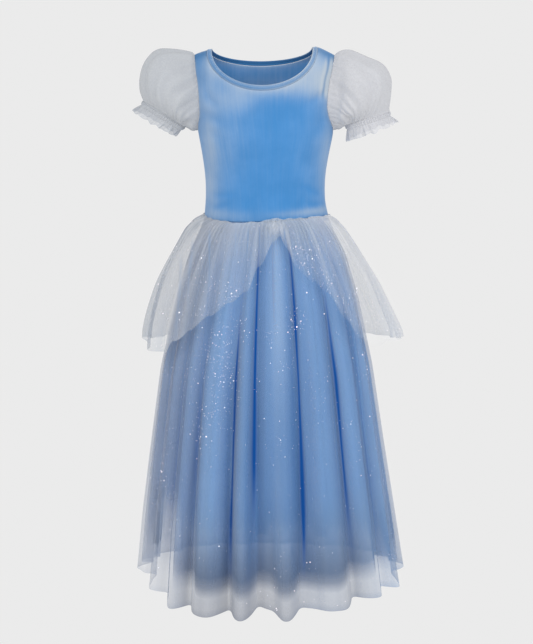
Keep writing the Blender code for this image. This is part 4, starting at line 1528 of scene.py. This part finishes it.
# Low is painted shade towards the hem, weaker at the sides and near 24 degrees. Trough, valley
# and grey are painted shade too, and lit is painted light.
low = low_part(drop, outer_hem, 150.0) * (1.0 - 0.85 * sides)
low = low * (1.0 - 0.3 * hump(angle, 24.0, 12.0))
side_fade = by_side(angle, 0.40, 0.05) * sides * smooth((drop - 380.0) / 200.0)
skirt_outer = make_sheet("skirt_outer_tulle", outer_grid, True, TULLE,
                         replaces="skirt_outer", slot="glitter_tulle",
                         slant=slant_of(outer_grid),
                         trough=fold_shade(outer_inset, drop, angle, 6.0),
                         edge=hem_edge + waist_edge,
                         glitter=glitter_share(LONG_CLUSTERS, drop, angle, 160.0),
                         valley=valleys(drop, angle, outer_hem), lit=lit(drop, angle),
                         low=low, grey=greyed(drop, angle),
                         fade=side_fade)

# %% [markdown]
# Under the outer tulle hang a bluer tulle and a lining, each a little shorter than the
# layer over it. They could be copies made smaller, but then folds would cut through each
# other. Here each layer has folds of its own, and is pushed in wherever it would come
# through the layer outside it.

# %% Inner layers
LAYER_START = 1.6
# space at the waist in millimetres, then by the depth of the folds, and how far this layer
# follows the long folds
MIDDLE_SPACE = (1.4, 0.20, 0.86)
MIDDLE_RISE = 28.0
LINING_SPACE = (3.0, 0.42, 0.72)
LINING_RISE = 118.0


def inner_layer(columns, rows, rise, start, space, seed, size, low_reach):
    """The grid of a layer that lies inside the outer skirt, and what its points keep."""
    drop, angle, hem = skirt_places(columns, rows, rise)
    loose = space[0] * np.minimum(1.0, drop / 60.0) + space[1] * fold_depth(drop)
    own = start + loose + long_folds(drop, angle) * space[2]
    own = own + small_folds(drop, angle, seed, size)
    inset = soft_most(own, outer_folds(drop, angle) + start)
    grid = hang(SKIRT, drop, angle, inset)
    sides = side_share(angle)
    thin = by_side(angle, 0.72, 0.16) * sides * smooth((drop - 200.0) / 300.0)
    reach = 26.0 + by_side(angle, 66.0, 16.0) * sides
    faded = 0.97 * low_part(drop, hem, reach)
    # Trough, valley and low are painted shade, lit is painted light and grey is a painted grey
    # shade.
    facts = {
        "slant": slant_of(grid),
        "trough": fold_shade(inset, drop, angle, 12.0),
        "edge": 0.0,
        "valley": valleys(drop, angle, hem),
        "low": low_part(drop, hem, low_reach) * (1.0 - 0.5 * sides),
        "fade": thin + faded * (1.0 - thin),
        "lit": lit(drop, angle),
        "grey": greyed(drop, angle),
    }
    return grid, facts


print("inner layers end", MIDDLE_RISE, "and", LINING_RISE, "mm above the outer hem")

# %% Middle skirt
MIDDLE_COLUMNS = 720
MIDDLE_ROWS = 48

middle_grid, middle_facts = inner_layer(MIDDLE_COLUMNS, MIDDLE_ROWS, MIDDLE_RISE, LAYER_START,
                                        MIDDLE_SPACE, 141, 0.6, 190.0)
skirt_middle = make_sheet("skirt_middle_tulle", middle_grid, True, TULLE_BLUE,
                          replaces="skirt_middle", slot="blue_tulle", **middle_facts)

# %% Lining
LINING_COLUMNS = 480
LINING_ROWS = 40

lining_grid, lining_facts = inner_layer(LINING_COLUMNS, LINING_ROWS, LINING_RISE,
                                        2.0 * LAYER_START, LINING_SPACE, 181, 0.3, 60.0)
drop, angle, lining_hem = skirt_places(LINING_COLUMNS, LINING_ROWS, LINING_RISE)
crisp = hump(angle, -2.5, 3.2, 4) + hump(angle, 26.0, 3.0, 4)
lining_facts["fade"] = share_of(low_part(drop, lining_hem, 70.0) * (1.0 - crisp))
skirt_lining = make_sheet("skirt_lining_cloth", lining_grid, True, LINING,
                          replaces="skirt_lining", slot="blue_lining", **lining_facts)

# %% [markdown]
# ## The overskirt
# A shorter, paler tulle stands out over the hips. Its hem is drawn up to a point in
# front, where the two sides meet in a small bunch of gathers over the waist seam.

# %% Overskirt sizes
# drop below the waist, left reach, right reach, front depth, back depth
OVERSKIRT = [
    (0, 105.2, 105.2, 78.2, 75.2),
    (5, 119, 117, 85, 83),
    (10, 128, 122, 90, 90),
    (25, 137, 133, 98, 101),
    (40, 146, 144, 106, 112),
    (75, 166, 166, 121, 133),
    (107, 183, 187, 133, 149),
    (141, 195, 204, 142, 163),
    (175, 205, 221, 149, 174),
    (200, 209, 233, 154, 180),
    (230, 208, 231, 158, 184),
]

# angle, hem height
OVERSKIRT_HEM = [
    (-110, -487), (-88, -474), (-75, -487), (-55, -486), (-46, -462), (-38, -443),
    (-28, -418), (-18, -396), (-10, -378), (-4.5, -340), (5, -302), (9.5, -294), (13, -312),
    (17, -345), (25, -364), (31, -382), (37, -425), (42, -458), (49, -473), (62, -469),
    (86, -473), (112, -486), (150, -492), (180, -496), (215, -492), (250, -487),
]

# ridge angle, valley angle, valley depth at the hem
OVERSKIRT_FOLDS = [
    (-88, -79, 14), (-68, -59, 15), (-48, -41, 9), (-35, -29.5, 5), (-22, -11, 5),
    (3, 12, 3), (20, 28, 4), (36, 44, 7), (53, 62, 12), (74, 83, 16), (95, 104, 14),
    (113, 122, 12), (133, 143, 14), (154, 163, 12), (173, 183, 14), (194, 203, 12),
    (213, 223, 14), (234, 243, 12), (253, 263, 14),
]

# angle, how far the top edge stands over the waist seam
HEADER = [
    (-90, 2.2), (-72, 3.8), (-48, 2), (-28, -0.4), (-8, 0.2), (5, 2.4), (22, 2.6),
    (60, 2.6), (90, 2), (180, 2.6),
]

print("overskirt sizes read,", len(OVERSKIRT_FOLDS), "folds")

# %% Shadows and light on the overskirt
# x at the waist and x 200 mm lower, drop where the shadow between two gathers starts and
# ends, half width, strength
SHORT_SHADOWS = [
    (-90, -96, 4, 200, 2.4, 0.6),
    (-119, -129, 20, 150, 2.6, 0.45),
    (-135, -146, 50, 215, 3, 0.4),
    (-66, -70, 6, 60, 1.4, 0.35),
    (-50, -53, 2, 95, 1.8, 0.5),
    (-30, -33, -2, 135, 1.7, 0.75),
    (-12, -14, -2, 95, 1.4, 0.75),
    (-2, -3, 4, 50, 1.2, 0.4),
    (27, 42, 0, 90, 1.5, 0.65),
    (42, 52, 14, 110, 1.4, 0.55),
    (65, 90, 0, 80, 1.8, 0.45),
    (88, 120, 10, 170, 2.2, 0.5),
    (100, 143, 50, 210, 2.4, 0.35),
]
BACK_SHADOWS = [
    (-74, -100, 6, 170, 2, 0.5),
    (-22, -28, 6, 130, 1.8, 0.45),
    (30, 40, 10, 180, 2, 0.55),
    (78, 108, 8, 140, 2, 0.45),
]


def short_shadows(points, drop):
    """Shadows between single gathers, laid one by one in front and behind."""
    total = 0.0 * drop
    for table, facing in ((SHORT_SHADOWS, -1.0), (BACK_SHADOWS, 1.0)):
        seen = smooth(facing * points[..., 1] / 20.0)
        for high, low, top, bottom, wide, strength in table:
            line = high + (low - high) * drop / 200.0 + 1.2 * np.sin(drop / 23.0 + high)
            ends = between(drop, top, bottom, 22.0, 60.0)
            total = total + strength * seen * ends * hump(points[..., 0], line, wide)
    return share_of(total)


# angle, how strongly the light falls on the cloth there
SHORT_LIT = [
    (-88, 0.05), (-62, 0.15), (-47, 0.55), (-37, 0.2), (-29, 0.5), (-18, 0.2), (-10, 0.3),
    (0, 0.05), (12, 0.2), (26, 0.12), (36, 0.45), (50, 0.8), (90, 0.8), (120, 0.3),
    (150, 0.5), (180, 0.2), (210, 0.45), (240, 0.3),
]

print(len(SHORT_SHADOWS) + len(BACK_SHADOWS), "shadows on the overskirt")

# %% Places and folds of the overskirt
SHORT_COLUMNS = 960
SHORT_ROWS = 44

angle = np.arange(SHORT_COLUMNS) * 360.0 / SHORT_COLUMNS - 90.0
short_hem = waist_height(angle) - look_round(OVERSKIRT_HEM, angle, 1)
header = look_round(HEADER, angle, 1) + 3.0 * hump(angle, 5.0, 8.0)
header = header + 1.2 * drift(np.radians(angle), 0.0, 405, 11, 37, 1.0)
share = np.linspace(0.0, 1.0, SHORT_ROWS + 1)[:, None] ** 1.2
drop = share * (short_hem + header) - header
angle = np.broadcast_to(angle, drop.shape)
turn = np.radians(angle)
clumps = np.clip(0.65 + 0.9 * drift(turn, 0.0, 431, 7, 19, 1.0), 0.05, 1.5)
fine = 2.8 * smooth(drop / 10.0) * np.exp(-drop / 55.0) * clumps
fine = fine + 1.3 * np.exp(-np.maximum(drop, 0.0) / 6.0)
inset = fine * gathers(turn, drop / 200.0, 108, 401) + 0.5 * smooth(-drop / 3.0)
uneven = np.clip(0.65 + 0.9 * drift(turn, drop / 120.0, 437, 5, 13, 1.0), 0.1, 1.4)
inset += 2.7 * smooth(drop / 50.0) * gathers(turn, drop / 150.0, 47, 411) * uneven
inset += fold_value(OVERSKIRT_FOLDS, angle, 2) * smooth((drop - 20.0) / 170.0)
bunch = hump(angle, 7.0, 7.0) * hump(drop, 0.0, 16.0)
inset -= bunch * (3.5 + 3.0 * np.sin(angle * 1.3 + drop / 3.0))
print("overskirt hem between", short_hem.min().round(), "and", short_hem.max().round(), "mm")

# %% Overskirt
short_grid = hang(OVERSKIRT, drop, angle, inset)
over_hem = short_hem - drop
knot = hump(angle, 7.0, 6.0) * hump(drop, 9.0, 11.0)
short_edge = 0.28 * np.exp(-over_hem / 3.0) + 0.8 * np.exp(-drop / 14.0) + 0.5 * knot
# The left side gets a painted grey shade.
left_shade = smooth((-np.sin(turn) - 0.3) / 0.5)
in_front = between(angle, -52.0, 80.0, 30.0, 30.0)
soft_hem = np.where(angle < 6.0, 0.22, 0.50) * np.exp(-over_hem / 13.0)
thin = in_front * (0.15 + 0.27 * smooth((drop - 20.0) / 60.0) + soft_hem)
# Trough is painted shade in the gathers, lit is painted light on the panels and the knot, and
# valley holds the painted shadows between gathers.
overskirt = make_sheet("overskirt_tulle", short_grid, True, TULLE_PALE,
                       replaces="overskirt", slot="glitter_tulle_pale",
                       slant=slant_of(short_grid), trough=share_of(inset / 16.0),
                       edge=short_edge,
                       glitter=glitter_share(SHORT_CLUSTERS, drop, angle, 150.0),
                       lit=share_of(look_round(SHORT_LIT, angle, 1) + 0.45 * knot),
                       grey=0.55 * left_shade, fade=share_of(thin - 0.2 * knot),
                       valley=short_shadows(short_grid, drop))

# %% [markdown]
# ## Glitter
# Glitter is a dust of tiny flat flakes glued to the tulle. Geometry Nodes scatter the
# flakes over a sheet, denser where the sheet says so, and turn every flake a little.

# %% Glitter tree
FLAKE_SIDES = 6
FLAKE_LIFT = 0.0007
FLAKE_TILT = (0.6, 0.6, 3.1)
FEW_LARGE = 2.4
COLOUR_CELL = 0.004

flakes = Finish("glitter_flakes")
cell = flakes.node("ShaderNodeVectorMath", {"operation": "SNAP"},
                   {0: flakes.place(), 1: (COLOUR_CELL, COLOUR_CELL, COLOUR_CELL)})
spot = flakes.node("ShaderNodeTexWhiteNoise", {"noise_dimensions": "3D"}, {"Vector": cell})
flake_colour = flakes.mix(spot, tone(255, 228, 232), tone(236, 242, 252))
# The flakes glow a little, which is a painted glint.
flakes.set(Base_Color=flake_colour, Roughness=0.25, Metallic=0.2,
           Emission_Color=flake_colour, Emission_Strength=0.35)


def glitter_tree():
    """Flakes on a sheet: how many a square metre, their sizes, clustering and seed."""
    steps = Steps("glitter", ("Flakes", "Smallest", "Largest", "Clusters"), ("Seed",))
    dense = steps.node("GeometryNodeInputNamedAttribute", {"data_type": "FLOAT"},
                       {"Name": "glitter"}, out="Attribute")
    spots = steps.node("GeometryNodeDistributePointsOnFaces", {"distribute_method": "RANDOM"},
                       {"Mesh": steps.given("Geometry"), "Seed": steps.given("Seed"),
                        "Density": dense ** steps.given("Clusters") * steps.given("Flakes")})
    push = steps.node("ShaderNodeVectorMath", {"operation": "SCALE"},
                      {0: spots.other("Normal"), "Scale": FLAKE_LIFT})
    lifted = steps.node("GeometryNodeSetPosition", {}, {"Geometry": spots, "Offset": push})
    flake = steps.node("GeometryNodeMeshCircle", {"fill_type": "TRIANGLE_FAN"},
                       {"Vertices": FLAKE_SIDES, "Radius": 1.0})
    chance = steps.node("FunctionNodeRandomValue", {"data_type": "FLOAT"}, out=1)
    size = steps.node("ShaderNodeMapRange", {},
                      {"Value": chance ** FEW_LARGE, "To Min": steps.given("Smallest"),
                       "To Max": steps.given("Largest")}, out="Result")
    tilt = steps.node("FunctionNodeRandomValue", {"data_type": "FLOAT_VECTOR"},
                      {0: tuple(-v for v in FLAKE_TILT), 1: FLAKE_TILT})
    turned = steps.node("FunctionNodeRotateRotation", {"rotation_space": "LOCAL"},
                        {0: spots.other("Rotation"), 1: tilt})
    placed = steps.node("GeometryNodeInstanceOnPoints", {},
                        {"Points": lifted, "Instance": flake, "Rotation": turned,
                         "Scale": size})
    return steps.paint(placed, flakes.material)


GLITTER = glitter_tree()
print("glitter tree made")

# %% Scatter it
# name, sheet, slot, flakes per square metre, smallest, largest, clustering, seed
SCATTERS = [
    ("glitter_long_dust", skirt_outer, "glitter_tulle", 52000.0, 0.00026, 0.00052, 1.25, 11),
    ("glitter_long_flakes", skirt_outer, "glitter_tulle", 8000.0, 0.00045, 0.00125, 1.1, 17),
    ("glitter_short_dust", overskirt, "glitter_tulle_pale", 60000.0, 0.00026, 0.00052, 1.25, 23),
    ("glitter_short_flakes", overskirt, "glitter_tulle_pale", 8000.0, 0.00045, 0.00115, 1.1, 29),
]
for name, sheet, slot, count, smallest, largest, clusters, seed in SCATTERS:
    run_tree(name, GLITTER, sheet.data,
             {"Flakes": count, "Smallest": smallest, "Largest": largest,
              "Clusters": clusters, "Seed": seed})
